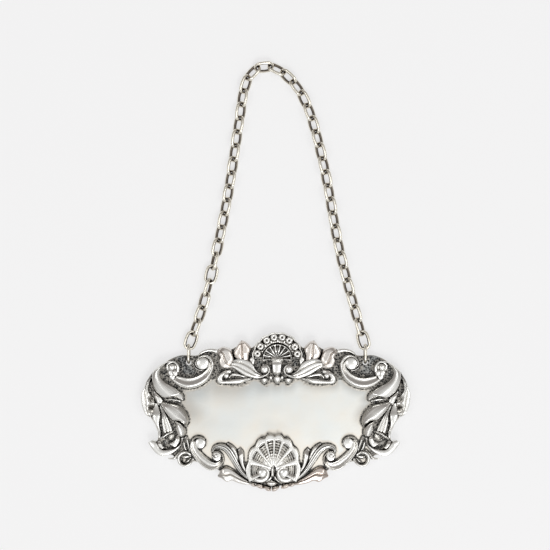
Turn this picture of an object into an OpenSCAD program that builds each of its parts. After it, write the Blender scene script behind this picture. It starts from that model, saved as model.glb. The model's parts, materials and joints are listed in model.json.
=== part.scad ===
// Silver decanter label: a cast rococo border on a thin hollow-backed plate,
// hung from a loop of oval chain whose two end links pass through the plate.
// The label lies on its back. X runs across it, Y up it and Z out of its face.
// The origin is on the back of its foot, at the bottom of the label on the middle line.

/* [Label] */
// Width of the label over its border
label_w = 60; // [54:0.5:72]
// Height of the label over its border
label_h = 35; // [32:0.5:42]
// Thickness of the plate
sheet_t = 0.7; // [0.5:0.05:0.9]
// Width of the foot that runs round the back
foot_w = 1.2; // [0.8:0.1:2]
// Sideways lean of the casting for each millimetre below the holes
border_lean = 0.035; // [0:0.005:0.05]

/* [Chain holes] */
// Distance between the two holes
hole_spacing = 39.6; // [37:0.2:44]
// Distance of the holes above the middle of the label
hole_rise = 11; // [10:0.1:13]
// Metal left between a hole and the top edge
web_w = 1; // [0.8:0.05:1.2]
// Room round the wire in a hole, on each side
hole_clear = 0.25; // [0.2:0.05:0.4]

/* [Relief] */
// Height of the scrolls above the plate
scroll_h = 1.8; // [1:0.1:2.6]
// Height of the leaves above the plate
leaf_h = 1.6; // [1:0.1:2.4]
// Height of the shells above the plate
shell_h = 2.1; // [1.2:0.1:3]

/* [Chain] */
// Number of links, both end links included
link_count = 46; // [40:2:46]
// Diameter of the chain wire
wire_d = 0.7; // [0.5:0.05:0.9]
// Outside length of a link
link_len = 4.6; // [4:0.1:6]
// Room between the plate's web and the inside of a link's bow
bow_clear = 0.14; // [0.1:0.02:0.3]
// Slack between two links that hang together
link_slack = 0.1; // [0.06:0.02:0.2]

/* [Hidden] */
half_count = link_count / 2;
paired_pieces = ["upper_scroll", "side_leaf", "lower_scroll", "top_spray", "bottom_spray"];
$fn = 48;

// Sizes that follow from the ones above
hole_x = hole_spacing / 2;
hole_y = hole_rise;
hole_d = wire_d + 2 * hole_clear;
web_top = hole_y + hole_d / 2 + web_w;
pivot_y = web_top - web_w / 2;
bow_r = round(100 * (norm([web_w, sheet_t]) / 2 + bow_clear + wire_d / 2)) / 100;
link_w = 2 * bow_r + wire_d;
link_straight = link_len - link_w;
pivot_z = link_w / 2;
foot_h = pivot_z - sheet_t / 2;
face_z = foot_h + sheet_t;
link_pitch = link_len - 2 * wire_d - link_slack;
end_reach = link_straight + bow_r - (wire_d + link_slack) / 2;

function link_name(side, i) = str(side, "_link_", i < 10 ? "0" : "", i);

// Curves
function mix(a, b, t) = a + (b - a) * t;
function ease(t) = let (c = min(1, max(0, t))) c * c * (3 - 2 * c);
function last(list) = list[len(list) - 1];
function flat(lists) = [for (l = lists, e = l) e];
function catmull(a, b, c, d, t) =
    0.5 * (2 * b + (c - a) * t + (2 * a - 5 * b + 4 * c - d) * t * t + (3 * b - a - 3 * c + d) * t * t * t);
function span(p, i, t) =
    let (a = i > 0 ? p[i - 1] : 2 * p[0] - p[1],
         d = i + 2 < len(p) ? p[i + 2] : 2 * last(p) - p[len(p) - 2])
    catmull(a, p[i], p[i + 1], d, t);
// A smooth open curve through the points p, with n steps between two points
function curve(p, n) = concat([for (i = [0:len(p) - 2], k = [0:n - 1]) span(p, i, k / n)], [last(p)]);
// The same curve, sampled at count + 1 even steps
function even_curve(p, count) =
    [for (k = [0:count])
        let (u = k / count * (len(p) - 1), i = min(floor(u), len(p) - 2))
        span(p, i, u - i)];

// The border is drawn on a grid 60 wide and 35 high, with its holes 19.8 out and 11 up, and the
// drawing is stretched so that its holes and edges land on the sizes above
draw_scale = label_w / 60;
function stretch(v, drawn_hole, hole, drawn_edge, edge) =
    abs(v) <= drawn_hole ? v * hole / drawn_hole
    : sign(v) * (hole + (abs(v) - drawn_hole) * (edge - hole) / (drawn_edge - drawn_hole));
function stretch_y(y) =
    y > 0 ? stretch(y, 11, hole_y, 17.5, label_h / 2) : y * label_h / 35;
function at(p, side) =
    let (x = stretch(p.x, 19.8, hole_x, 30, label_w / 2),
         y = stretch_y(p.y), lean = border_lean * (hole_y - y))
    [side * (x - lean) - lean, y];
// A point of the two shells, which sit astride the middle line
function mid(p) = [p.x * draw_scale - border_lean * (hole_y - stretch_y(p.y)), stretch_y(p.y)];

// Whether the rings run with their first edge on the right hand
function clockwise(rings) =
    let (i = floor(len(rings) / 2), a = rings[i][0], b = last(rings[i]), d = a - rings[i - 1][0])
    d.x * (a.y - b.y) - d.y * (a.x - b.x) < 0;
// A closed solid over a run of rings that all have the same number of points
module skin(rings, flip = false) {
    m = len(rings[0]);
    n = len(rings);
    sides = [for (i = [0:n - 2], j = [0:m - 1])
        let (k = (j + 1) % m, a = i * m + j, b = i * m + k, c = a + m, d = b + m)
        each flip ? [[a, b, d], [a, d, c]] : [[a, d, b], [a, c, d]]];
    first = [for (j = [1:m - 2]) flip ? [0, j + 1, j] : [0, j, j + 1]];
    end = (n - 1) * m;
    final = [for (j = [1:m - 2]) flip ? [end, end + j, end + j + 1] : [end, end + j + 1, end + j]];
    polyhedron(points = flat(rings), faces = concat(first, final, sides));
}

// Section of a scroll: a rounded outer rim, a hollow and a thin inner fillet
scroll_section = [
    [1, 0], [1, 0.55], [0.75, 0.95], [0.4, 1], [0.05, 0.72], [-0.45, 0.55], [-0.8, 0.75], [-1, 0.6], [-1, 0]];
// Section of a plain rounded moulding
bead_section = [[1, 0], [0.95, 0.5], [0.6, 0.9], [0, 1], [-0.6, 0.9], [-0.95, 0.5], [-1, 0]];

// Path points hold x, y, width and a share of the height
module sweep(path, section, steps, height, side) {
    c = even_curve(path, steps);
    p = [for (q = c) at(q, side)];
    rings = [for (i = [0:steps])
        let (t = p[min(i + 1, steps)] - p[max(i - 1, 0)], nrm = side * [-t.y, t.x] / norm(t))
        [for (s = section) [each p[i] + nrm * s.x * c[i][2] * draw_scale / 2, face_z + s.y * c[i][3] * height]]];
    skin(rings, clockwise(rings));
}

// A leaf between two edges, with a ridged back that falls away at both ends
module leaf(outer, inner, steps, height, side, ribs = 1) {
    a = even_curve(outer, steps);
    b = even_curve(inner, steps);
    across = 4 * ribs;
    rings = [for (i = [0:steps])
        let (u = i / steps, top = 0.35 + 0.65 * ease(4 * u) * ease(4 * (1 - u)))
        concat([[each at(a[i], side), face_z]],
            [for (k = [0:across])
                let (v = k / across, dome = 0.45 + 0.4 * sin(180 * v), fold = 0.15 * cos(360 * ribs * v))
                [each at(mix(a[i], b[i], 0.02 + 0.96 * v), side), face_z + height * top * (dome - fold)]],
            [[each at(b[i], side), face_z]])];
    skin(rings, clockwise(rings));
}

// A tongue astride the middle line, from its edge on one side
module middle_leaf(edge, steps, height) {
    a = even_curve(edge, steps);
    rings = [for (i = [0:steps])
        let (top = 0.4 + 0.6 * ease(3 * i / steps) * ease(3 * (1 - i / steps)))
        [for (k = [0:8])
            let (v = 1 - k / 4, z = k == 0 || k == 8 ? 0 : height * top * (0.4 + 0.6 * cos(90 * v)))
            [each mid([a[i].x * v, a[i].y]), face_z + z]]];
    skin(rings, clockwise(rings));
}

// A fan of ribs round a centre: profile points hold a share of the radius, a height and a rib depth
module fan(centre, rx, ry, from, to, ribs, scallop, profile, height) {
    steps = 6 * ribs;
    rings = [for (i = [0:steps])
        let (u = i / steps, angle = mix(from, to, u), wave = (1 - cos(360 * ribs * u)) / 2)
        [for (q = profile)
            let (r = q[0] * (1 - scallop * q[0] * (1 - wave)))
            [each mid(centre + r * [rx * cos(angle), ry * sin(angle)]),
                face_z + height * (q[1] - q[2] * (1 - wave))]]];
    skin(rings, clockwise(rings));
}

// A round boss of drawn radius r
module boss(p, r, height) {
    dome = [for (k = [0:6]) [r * draw_scale * cos(15 * k), height * (0.3 + 0.7 * sin(15 * k))]];
    translate([p.x, p.y, face_z])
        rotate_extrude()
            polygon([[0, 0], each dome, [0, height * 0.3]]);
}

// Outline of the plate, down one side, on the drawing grid
plate_edge = [
    [-0.2, 17], [2.6, 16.6], [4.8, 14.9], [6.3, 14.1], [8.2, 14.9], [10.6, 13.8], [13.2, 13.6],
    [15.8, 13.4], [24, 11.7], [26.3, 10], [28.2, 7.4], [29.3, 4.6], [29.5, 1.8], [28.6, -0.8],
    [27.2, -3.2], [26.6, -5.6],
    [27.2, -7.6], [26, -9.3], [23.8, -9.7], [22.2, -10.6], [20.7, -11.8], [18.6, -11.2], [16.6, -11.9],
    [14.6, -12.2], [12.8, -13.4], [11.2, -14.7], [8, -15.7], [4.6, -16.2], [1, -17]];
// The straight run of the edge above a hole
web_run = [[-1.9, 0], [-1, 0], [0, 0], [1, 0], [1.9, 0]];

function edge_side(side) =
    curve(concat([for (i = [0:7]) at(plate_edge[i], side)],
        [for (q = web_run) [side * (hole_x + q.x * draw_scale), web_top]],
        [for (i = [8:len(plate_edge) - 1]) at(plate_edge[i], side)]), 3);
function both_sides(right, left) = concat(right, [for (i = [len(left) - 2:-1:1]) left[i]]);

// Line of the foot under the plate, down one side; it passes below the holes
foot_line = [
    [-0.1, 15], [4.2, 13.2], [9.5, 12.4], [14.6, 12], [17, 10.2], [19.8, 9], [22.4, 9.3], [25, 8.6],
    [27.2, 6.2], [28, 3], [27.2, -0.6], [25.6, -4], [24.8, -7.2], [22, -8.8], [19.6, -10],
    [16.6, -10.5], [13.6, -11.4],
    [10.6, -13.2], [6, -14.8], [0.9, -15.5]];
function foot_side(side) = curve([for (p = foot_line) at(p, side)], 3);
// The drawing's middle is moved so that the lowest point of the foot is the origin
module placed() {
    low = at(last(foot_line), 1);
    translate([-low.x, -low.y, 0])
        children();
}
// A closed curve moved along its normals
function moved(p, d) =
    [for (i = [0:len(p) - 1])
        let (t = p[(i + 1) % len(p)] - p[(i + len(p) - 1) % len(p)])
        p[i] + d * [-t.y, t.x] / norm(t)];

module ground_plate() {
    foot = both_sides(foot_side(1), foot_side(-1));
    color([0.72, 0.72, 0.70])
    placed()
    difference() {
        union() {
            translate([0, 0, foot_h])
                linear_extrude(height = sheet_t)
                    polygon(both_sides(edge_side(1), edge_side(-1)));
            linear_extrude(height = foot_h + sheet_t / 2)
                difference() {
                    polygon(moved(foot, foot_w / 2));
                    polygon(moved(foot, -foot_w / 2));
                }
        }
        for (side = [-1, 1])
            translate([side * hole_x, hole_y, -1])
                cylinder(d = hole_d, h = face_z + 2);
    }
}

// Upper C-scroll beside a chain hole, with the rim moulding above its inner curl
upper_path = [
    [23.1, 8.9, 0.4, 0.6], [22.3, 9.3, 0.5, 0.65], [22.1, 10.4, 0.55, 0.7], [23.1, 11.4, 0.6, 0.75],
    [24.5, 11.1, 0.7, 0.8], [25, 9.9, 0.8, 0.8], [24.6, 8.8, 1, 0.85], [23.6, 7.9, 1.4, 0.95],
    [22.2, 7.1, 1.8, 1], [20.4, 6.5, 2.1, 1], [18.2, 6.7, 2.1, 1], [16.1, 7.9, 1.9, 1],
    [14.9, 9.6, 1.5, 0.95], [14.8, 11.1, 1.3, 0.9], [15.6, 12.1, 1.1, 0.85], [16.8, 12.1, 1, 0.85],
    [17.4, 11.3, 0.9, 0.8], [17, 10.5, 0.8, 0.75],
    [16.2, 10.6, 0.6, 0.7]];
rim_path = [
    [17.8, 13, 0.5, 0.6], [16.7, 13.7, 0.7, 0.75], [15.1, 14, 0.8, 0.8], [13.9, 13.7, 0.7, 0.75],
    [13.4, 13, 0.5, 0.6]];
module upper_scroll(side) {
    sweep(upper_path, scroll_section, 72, scroll_h, side);
    sweep(rim_path, bead_section, 14, scroll_h, side);
    boss(at([23.4, 10.1], side), 0.6, scroll_h * 0.75);
}

// Acanthus on the short side: a lobed inner blade, two outer blades and the curl at its foot
blade_outer = [
    [26.5, 10.5], [27.5, 9.2], [28.1, 7.4], [28.1, 5.6], [27.5, 4.2], [26.9, 3.1], [26.4, 2.2], [25.6, 1.3],
    [24.4, -0.6], [23.3, -2], [22.5, -3.4], [22, -4.6], [21.7, -5.8]];
blade_inner = [
    [26.2, 9.9], [25.9, 8.7], [25, 7.3], [23.6, 6.2], [21.8, 4.8], [21.1, 3.5], [22.1, 2.7], [20.9, 1.3],
    [19.9, -1], [20.5, -2.8], [20.3, -4.2], [20.7, -5.4], [21.4, -6.1]];
lobe_outer = [[27.8, 9.9], [28.9, 7.9], [29.6, 5.6], [29.95, 3.2], [29.7, 1], [29, -0.8]];
lobe_inner = [[27.75, 9.6], [28.45, 7.4], [28.45, 5.4], [27.9, 3.9], [27.75, 2.2], [28.4, 0.2]];
tongue_outer = [[27.3, 1.9], [27.6, 0.4], [27.6, -1], [27.3, -2.8], [26.9, -4.6], [26.5, -5.9]];
tongue_inner = [[26.8, 1.8], [26.1, 0.8], [24.9, -0.9], [23.9, -2.4], [24.2, -4], [25.2, -5.2]];
curl_outer = [
    [20.9, -6.8], [21.5, -8], [22.9, -9.3], [24.6, -10], [26.3, -9.7], [27.8, -8.5], [28.7, -7.1]];
curl_inner = [
    [21.8, -6.5], [22.5, -6.7], [23.6, -7.6], [25.1, -8], [26.6, -7.8], [27.7, -7.3], [28.5, -6.9]];
module side_leaf(side) {
    leaf(blade_outer, blade_inner, 48, leaf_h, side, 2);
    leaf(lobe_outer, lobe_inner, 20, leaf_h * 0.8, side);
    leaf(tongue_outer, tongue_inner, 20, leaf_h * 0.85, side, 2);
    leaf(curl_outer, curl_inner, 24, leaf_h * 0.9, side);
}

// Lower C-scroll and the small curl at the corner
lower_path = [
    [17.1, -6.1, 0.7, 0.6], [17.8, -6.9, 1.4, 0.95], [18.2, -8, 1.6, 1], [18, -9.4, 1.7, 1],
    [16.9, -10.7, 1.7, 1], [15.3, -11.4, 1.6, 1], [13.9, -11.3, 1.3, 0.95],
    [13, -10.5, 1, 0.9], [12.9, -9.6, 0.8, 0.85],
    [13.5, -9.1, 0.65, 0.8], [14, -9.6, 0.55, 0.75], [13.7, -10.2, 0.5, 0.7]];
corner_path = [
    [19.5, -11.3, 0.5, 0.7], [20.2, -11.9, 0.8, 0.8], [21.2, -11.8, 0.85, 0.85], [21.9, -10.9, 0.85, 0.85],
    [21.7, -9.8, 0.8, 0.8], [20.8, -9.3, 0.75, 0.8], [20.1, -9.8, 0.6, 0.75], [20.3, -10.5, 0.5, 0.7]];
module lower_scroll(side) {
    sweep(lower_path, scroll_section, 48, scroll_h, side);
    sweep(corner_path, scroll_section, 28, scroll_h, side);
}

// Spray of leaves beside the crest, with the small scroll under it
stem_outer = [[4, 7.8], [6, 7.9], [7.8, 8.9], [8.5, 9.2]];
stem_inner = [[4, 8.7], [5.2, 8.7], [6.8, 9.3], [7.8, 9.8]];
far_outer = [[8.8, 9.5], [10, 10.2], [11.4, 10.1], [12.6, 10.8], [12.85, 12.4], [12.4, 13.9]];
far_inner = [[8.1, 10.1], [8.9, 11.2], [9.7, 12], [10, 13.2], [10.9, 14.1], [12, 14.2]];
near_outer = [[7.7, 10.3], [8.6, 11.5], [9.3, 12.6], [9.6, 13.8], [9, 15], [8.3, 15.6]];
near_inner = [[6.4, 9.6], [6.3, 11], [6.3, 12.2], [6.1, 13.4], [6.4, 14.6], [7.6, 15.5]];
small_outer = [[5.9, 9.4], [5.9, 10.6], [5.7, 11.8]];
small_inner = [[4.5, 9], [4.7, 10.2], [5.3, 11.6]];
under_path = [
    [6.3, 7.2, 0.4, 0.6], [8.2, 7.6, 0.9, 0.8], [10, 8.5, 0.9, 0.85], [11.4, 9.1, 0.85, 0.85],
    [12.7, 8.7, 0.8, 0.85], [13.1, 7.6, 0.75, 0.8], [12.3, 6.8, 0.65, 0.75], [11.5, 7.3, 0.5, 0.7]];
module top_spray(side) {
    leaf(stem_outer, stem_inner, 12, leaf_h * 0.9, side);
    leaf(far_outer, far_inner, 20, leaf_h, side, 2);
    leaf(near_outer, near_inner, 20, leaf_h, side, 2);
    leaf(small_outer, small_inner, 10, leaf_h * 0.8, side);
    sweep(under_path, bead_section, 28, scroll_h, side);
}

// S-shaped leaf beside the lower shell and the leaf below it
s_outer = [
    [14.7, -8.6], [14.2, -7.8], [13.2, -7.2], [11.8, -7.2], [10.6, -7.4], [9.4, -8.1], [8.5, -8.2],
    [8, -9.9], [7.4, -11.8], [6.6, -13.2], [6.1, -14.1]];
s_inner = [
    [14.4, -8.7], [13.8, -8.3], [13, -8.2], [12, -8.6], [11.4, -9.4], [10.8, -10.3], [10.2, -11.2],
    [9.5, -12.2], [8.7, -13], [7.8, -13.8], [6.8, -14.3]];
foot_upper = [
    [13.3, -13.4], [12.3, -12.9], [11.2, -12.4], [10.2, -12.9], [9.2, -13.9], [7.6, -14.9], [6.1, -15.4]];
foot_lower = [
    [13.2, -13.8], [12.4, -14.5], [11.2, -15.1], [9.8, -15.6], [8.6, -15.9], [7.2, -16.1], [5.9, -15.9]];
module bottom_spray(side) {
    leaf(s_outer, s_inner, 40, leaf_h, side, 2);
    leaf(foot_upper, foot_lower, 24, leaf_h * 0.85, side);
}

// Crest: a gadrooned rim round a ribbed fan, a keystone, two bosses and three pendant leaves
crest_profile = [
    [0.27, 0, 0], [0.27, 0.45, 0], [0.4, 0.65, 0.15], [0.55, 0.72, 0.2], [0.64, 0.6, 0.15], [0.69, 0.4, 0],
    [0.75, 0.75, 0.2], [0.86, 1, 0.3], [0.96, 0.8, 0.3], [1, 0.4, 0.1], [1, 0, 0]];
keystone_edge = [[0.3, 8.5], [0.9, 9.1], [1.2, 10.2], [1.1, 11.2], [0.7, 11.9], [0.25, 12.3]];
pendant_outer = [[2.9, 8.2], [2.6, 7.3], [1.8, 6.7]];
pendant_inner = [[1.1, 8.2], [1, 7.5], [1.4, 6.75]];
module crest_shell() {
    color([0.80, 0.80, 0.78])
    placed() {
        fan([0, 11.1], 5.6, 6.4, 12, 168, 11, 0.06, crest_profile, shell_h);
        middle_leaf(keystone_edge, 16, shell_h);
        for (side = [-1, 1]) {
            boss(mid([side * 2.7, 9.6]), 1.05, shell_h * 0.8);
            leaf(pendant_outer, pendant_inner, 8, leaf_h * 0.6, side);
        }
        middle_leaf([[0.55, 8.2], [0.6, 7.4], [0.15, 6.4]], 8, leaf_h * 0.6);
    }
}

// Lower shell: a ribbed scallop with its rolled arms, bosses, bud and fringe
scallop_profile = [
    [0.24, 0, 0], [0.24, 0.5, 0], [0.4, 0.75, 0.2], [0.6, 0.95, 0.25], [0.78, 1, 0.25], [0.9, 0.85, 0.15],
    [0.97, 0.6, 0.1], [1, 0.3, 0], [1, 0, 0]];
arm_path = [
    [5.3, -12.7, 0.5, 0.6], [4.9, -13.9, 0.7, 0.75], [3.6, -14.9, 0.8, 0.8], [2.3, -15, 0.6, 0.75],
    [1.5, -14.7, 0.4, 0.6]];
fringe_outer = [[3.3, -15.9], [3.6, -16.6], [3.1, -17.2]];
fringe_inner = [[2.4, -16], [2.1, -16.6], [2.6, -17.1]];
function centred(path) = [for (q = path) [q[0] + border_lean * (11 - q[1]), q[1], q[2], q[3]]];
module lower_shell() {
    color([0.80, 0.80, 0.78])
    placed() {
        fan([0, -12.6], 5.9, 7.6, 8, 172, 9, 0.07, scallop_profile, shell_h);
        for (side = [-1, 1]) {
            boss(mid([side * 2.1, -13.5]), 1, shell_h * 0.75);
            sweep(centred(arm_path), bead_section, 16, scroll_h, side);
            leaf(fringe_outer, fringe_inner, 8, leaf_h * 0.5, side);
        }
        middle_leaf([[0.4, -14.9], [1.1, -15.3], [1.1, -15.8], [0.4, -16.2]], 10, leaf_h * 0.8);
        middle_leaf([[0.6, -16.4], [0.6, -17], [0.15, -17.4]], 8, leaf_h * 0.5);
    }
}

// Shape of the hanging loop, as shares of the hole spacing and of its rise
loop_shape = [
    [-1, 0], [-0.79, 0.2], [-0.58, 0.5], [-0.43, 0.8], [-0.35, 0.945], [-0.17, 1], [0.08, 0.975],
    [0.33, 0.87], [0.53, 0.65], [0.72, 0.33], [1, 0]];
loop_length = (link_count - 2) * link_pitch;
loop_steps = 24;
function loop_curve(rise) =
    curve([for (q = loop_shape) [q.x * hole_x, pivot_y + end_reach + rise * q.y]], loop_steps);
function run_of(p) =
    [for (i = 0, s = 0; i < len(p); s = s + (i + 1 < len(p) ? norm(p[i + 1] - p[i]) : 0), i = i + 1) s];
function solve_rise(low, high, n) =
    let (m = (low + high) / 2)
    n == 0 ? m
    : last(run_of(loop_curve(m))) < loop_length ? solve_rise(m, high, n - 1)
    : solve_rise(low, m, n - 1);
loop_rise = solve_rise(0.2 * loop_length, 0.6 * loop_length, 24);
loop_points = loop_curve(loop_rise);
loop_run = run_of(loop_points);
function on_loop(s) =
    let (i = max([for (k = [0:len(loop_run) - 2]) loop_run[k] <= s + 1e-9 ? k : 0]),
         d = loop_run[i + 1] - loop_run[i])
    mix(loop_points[i], loop_points[i + 1], min(1, (s - loop_run[i]) / d));

// Roll of a link about its own length, counted from the left hole: crossed pairs that ease
// into lying at half a right angle, and that roll over once on the left
function roll(i) =
    let (k = min(i, link_count + 1 - i), left = i <= half_count ? 90 * ease((i - 4) / 6) : 90)
    90 * (k % 2) + 45 * ease((k - 1) / 3) + (i <= half_count ? left : 0);
function need_z(i) = bow_r * abs(sin(roll(i))) + wire_d / 2;
// Where link i meets link i + 1
function contact(i) =
    i == 0 ? [-hole_x, pivot_y, pivot_z]
    : i == link_count ? [hole_x, pivot_y, pivot_z]
    : [each on_loop((i - 1) * link_pitch), max(need_z(i), need_z(i + 1))];
contacts = [for (i = [0:link_count]) contact(i)];

// One bow of a link and the straight side that follows it
module link_hook() {
    translate([link_straight / 2, 0, 0])
        rotate([0, 0, -90])
            rotate_extrude(angle = 180)
                translate([bow_r, 0])
                    circle(d = wire_d);
    translate([-link_straight / 2, bow_r, 0])
        rotate([0, 90, 0])
            cylinder(d = wire_d, h = link_straight);
}

// An oval link in the XY plane, its length along X
module oval_link() {
    union() {
        link_hook();
        rotate([0, 0, 180])
            link_hook();
    }
}

// Link i of the chain, counted from the left hole
module chain_link(i) {
    a = contacts[i - 1];
    b = contacts[i];
    d = b - a;
    half = [0, link_straight / 2, 0];
    middle = i == 1 ? a + half : i == link_count ? b + half : (a + b) / 2;
    color(i % 2 == 0 ? [0.76, 0.76, 0.74] : [0.70, 0.70, 0.68])
    placed()
    translate(middle)
        rotate([0, -asin(d.z / norm(d)), atan2(d.y, d.x)])
            rotate([roll(i), 0, 0])
                oval_link();
}

module left_upper_scroll() {
    color([0.78, 0.78, 0.76]) placed() upper_scroll(-1);
}
module right_upper_scroll() {
    color([0.78, 0.78, 0.76]) placed() upper_scroll(1);
}
module left_side_leaf() {
    color([0.74, 0.74, 0.72]) placed() side_leaf(-1);
}
module right_side_leaf() {
    color([0.74, 0.74, 0.72]) placed() side_leaf(1);
}
module left_lower_scroll() {
    color([0.78, 0.78, 0.76]) placed() lower_scroll(-1);
}
module right_lower_scroll() {
    color([0.78, 0.78, 0.76]) placed() lower_scroll(1);
}
module left_top_spray() {
    color([0.76, 0.76, 0.74]) placed() top_spray(-1);
}
module right_top_spray() {
    color([0.76, 0.76, 0.74]) placed() top_spray(1);
}
module left_bottom_spray() {
    color([0.76, 0.76, 0.74]) placed() bottom_spray(-1);
}
module right_bottom_spray() {
    color([0.76, 0.76, 0.74]) placed() bottom_spray(1);
}

ground_plate();
crest_shell();
lower_shell();
left_upper_scroll();
right_upper_scroll();
left_side_leaf();
right_side_leaf();
left_lower_scroll();
right_lower_scroll();
left_top_spray();
right_top_spray();
left_bottom_spray();
right_bottom_spray();
for (i = [1:half_count]) {
    chain_link(i);
    chain_link(link_count + 1 - i);
}
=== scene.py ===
"""Looks of a cast silver decanter label and its chain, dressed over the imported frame."""

import json
import logging
import math
from dataclasses import dataclass
from enum import Enum
from typing import Any, Sequence

import bpy
import numpy as np
from mathutils import Matrix, Vector
from mathutils.bvhtree import BVHTree


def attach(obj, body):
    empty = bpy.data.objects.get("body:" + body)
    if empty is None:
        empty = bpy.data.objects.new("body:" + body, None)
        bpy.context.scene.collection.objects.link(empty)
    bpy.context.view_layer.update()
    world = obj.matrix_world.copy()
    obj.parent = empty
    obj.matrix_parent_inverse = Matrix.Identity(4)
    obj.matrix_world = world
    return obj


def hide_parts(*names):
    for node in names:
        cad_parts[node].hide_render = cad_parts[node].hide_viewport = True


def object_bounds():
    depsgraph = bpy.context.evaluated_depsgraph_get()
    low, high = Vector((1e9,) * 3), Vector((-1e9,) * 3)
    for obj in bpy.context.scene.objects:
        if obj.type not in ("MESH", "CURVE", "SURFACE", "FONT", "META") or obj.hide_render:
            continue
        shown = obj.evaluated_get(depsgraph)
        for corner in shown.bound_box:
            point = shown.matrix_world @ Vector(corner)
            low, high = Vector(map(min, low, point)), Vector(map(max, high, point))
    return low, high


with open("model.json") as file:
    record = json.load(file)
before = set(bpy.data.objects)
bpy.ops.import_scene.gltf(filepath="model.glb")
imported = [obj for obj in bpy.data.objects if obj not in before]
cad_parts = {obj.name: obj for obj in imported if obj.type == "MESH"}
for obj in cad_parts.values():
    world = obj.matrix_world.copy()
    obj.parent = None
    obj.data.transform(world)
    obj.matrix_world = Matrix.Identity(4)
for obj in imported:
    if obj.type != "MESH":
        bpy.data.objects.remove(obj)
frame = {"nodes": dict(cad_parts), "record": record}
cad_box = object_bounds()

MM = 0.001
# Depth in millimetres to which each mount is rooted in the plate.
ROOT = 0.2
# Angle above which an edge between two faces stays sharp.
CREASE = math.radians(50)
LOG = logging.getLogger("label")
Points = Sequence[tuple[float, float]]
Profile = Sequence[tuple[float, float, float]]


def linear(hex_colour: str) -> tuple[float, float, float, float]:
    """Turns an sRGB hex colour into linear RGBA.

    Args:
        hex_colour: Six hex digits.

    Returns:
        The linear colour with an alpha of 1.
    """
    parts = [int(hex_colour[i:i + 2], 16) / 255 for i in (0, 2, 4)]
    red, green, blue = [c / 12.92 if c <= 0.04045 else ((c + 0.055) / 1.055) ** 2.4 for c in parts]
    return red, green, blue, 1.0


def add_node(tree: bpy.types.NodeTree, kind: str, inputs: dict[Any, Any],
             **settings: Any) -> bpy.types.Node:
    """Adds a node with its settings, its values and its links.

    Args:
        tree: The node tree to add to.
        kind: The node's type name.
        inputs: Values or output sockets, keyed by input name or number.
        **settings: Attributes of the node.

    Returns:
        The new node.
    """
    node = tree.nodes.new(kind)
    for name, value in settings.items():
        setattr(node, name, value)
    for key, value in inputs.items():
        if isinstance(value, bpy.types.NodeSocket):
            tree.links.new(value, node.inputs[key])
        else:
            node.inputs[key].default_value = value
    return node


def smooth_line(points: Sequence[Sequence[float]], count: int) -> np.ndarray:
    """Samples a smooth open curve that passes through every point.

    Args:
        points: Points of the curve.
        count: Number of even steps.

    Returns:
        count + 1 points, one per row.
    """
    p = np.asarray(points, float)
    p = np.vstack([2 * p[0] - p[1], p, 2 * p[-1] - p[-2]])
    u = np.linspace(0, len(points) - 1, count + 1)
    i = np.minimum(u.astype(int), len(points) - 2)
    t = (u - i)[:, None]
    a, b, c, d = p[i], p[i + 1], p[i + 2], p[i + 3]
    square = (2 * a - 5 * b + 4 * c - d) * t ** 2
    cube = (3 * b - a - 3 * c + d) * t ** 3
    return 0.5 * (2 * b + (c - a) * t + square + cube)


def ease(t: np.ndarray) -> np.ndarray:
    """Smooth step from 0 to 1."""
    c = np.clip(t, 0, 1)
    return c * c * (3 - 2 * c)


def bump(v: np.ndarray, centre: float, half: float) -> np.ndarray:
    """Smooth bump of height 1 with the given centre and half width."""
    return 0.5 + 0.5 * np.cos(np.pi * np.clip(np.abs(v - centre) / half, 0, 1))


def rounded(v: np.ndarray, width: float) -> np.ndarray:
    """Quarter-round edges of the given width on a strip from 0 to 1."""
    return np.sqrt(1 - (1 - np.clip(np.minimum(v, 1 - v) / width, 0, 1)) ** 2)


def mark_points(piece: bpy.types.Object, name: str, values: np.ndarray) -> None:
    """Stores one value for each point of a mesh in a named attribute.

    Args:
        piece: The mesh object.
        name: Name of the attribute.
        values: One value for each vertex.
    """
    layer = piece.data.attributes.new(name, "FLOAT", "POINT")
    layer.data.foreach_set("value", values.astype(np.float32))


def deselect() -> None:
    """Leaves edit mode with nothing selected."""
    if bpy.context.object and bpy.context.object.mode != "OBJECT":
        bpy.ops.object.mode_set(mode="OBJECT")
    bpy.ops.object.select_all(action="DESELECT")


def join(name: str, parts: list[bpy.types.Object]) -> bpy.types.Object:
    """Joins meshes into one named piece.

    Args:
        name: Name of the piece.
        parts: Objects to join.

    Returns:
        The joined object.
    """
    deselect()
    for part in parts:
        part.select_set(True)
    bpy.context.view_layer.objects.active = parts[0]
    bpy.ops.object.join()
    piece = bpy.context.object
    piece.name = name
    piece.data.name = name
    return piece


def gather(pieces: Sequence[bpy.types.Object]) -> BVHTree:
    """Gathers pieces into one tree that finds the nearest metal.

    Args:
        pieces: Mesh objects at the origin.

    Returns:
        The tree of all their faces.
    """
    corners: list[Vector] = []
    faces: list[list[int]] = []
    for piece in pieces:
        base = len(corners)
        corners += [v.co.copy() for v in piece.data.vertices]
        faces += [[base + i for i in p.vertices] for p in piece.data.polygons]
    return BVHTree.FromPolygons(corners, faces)


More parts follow.
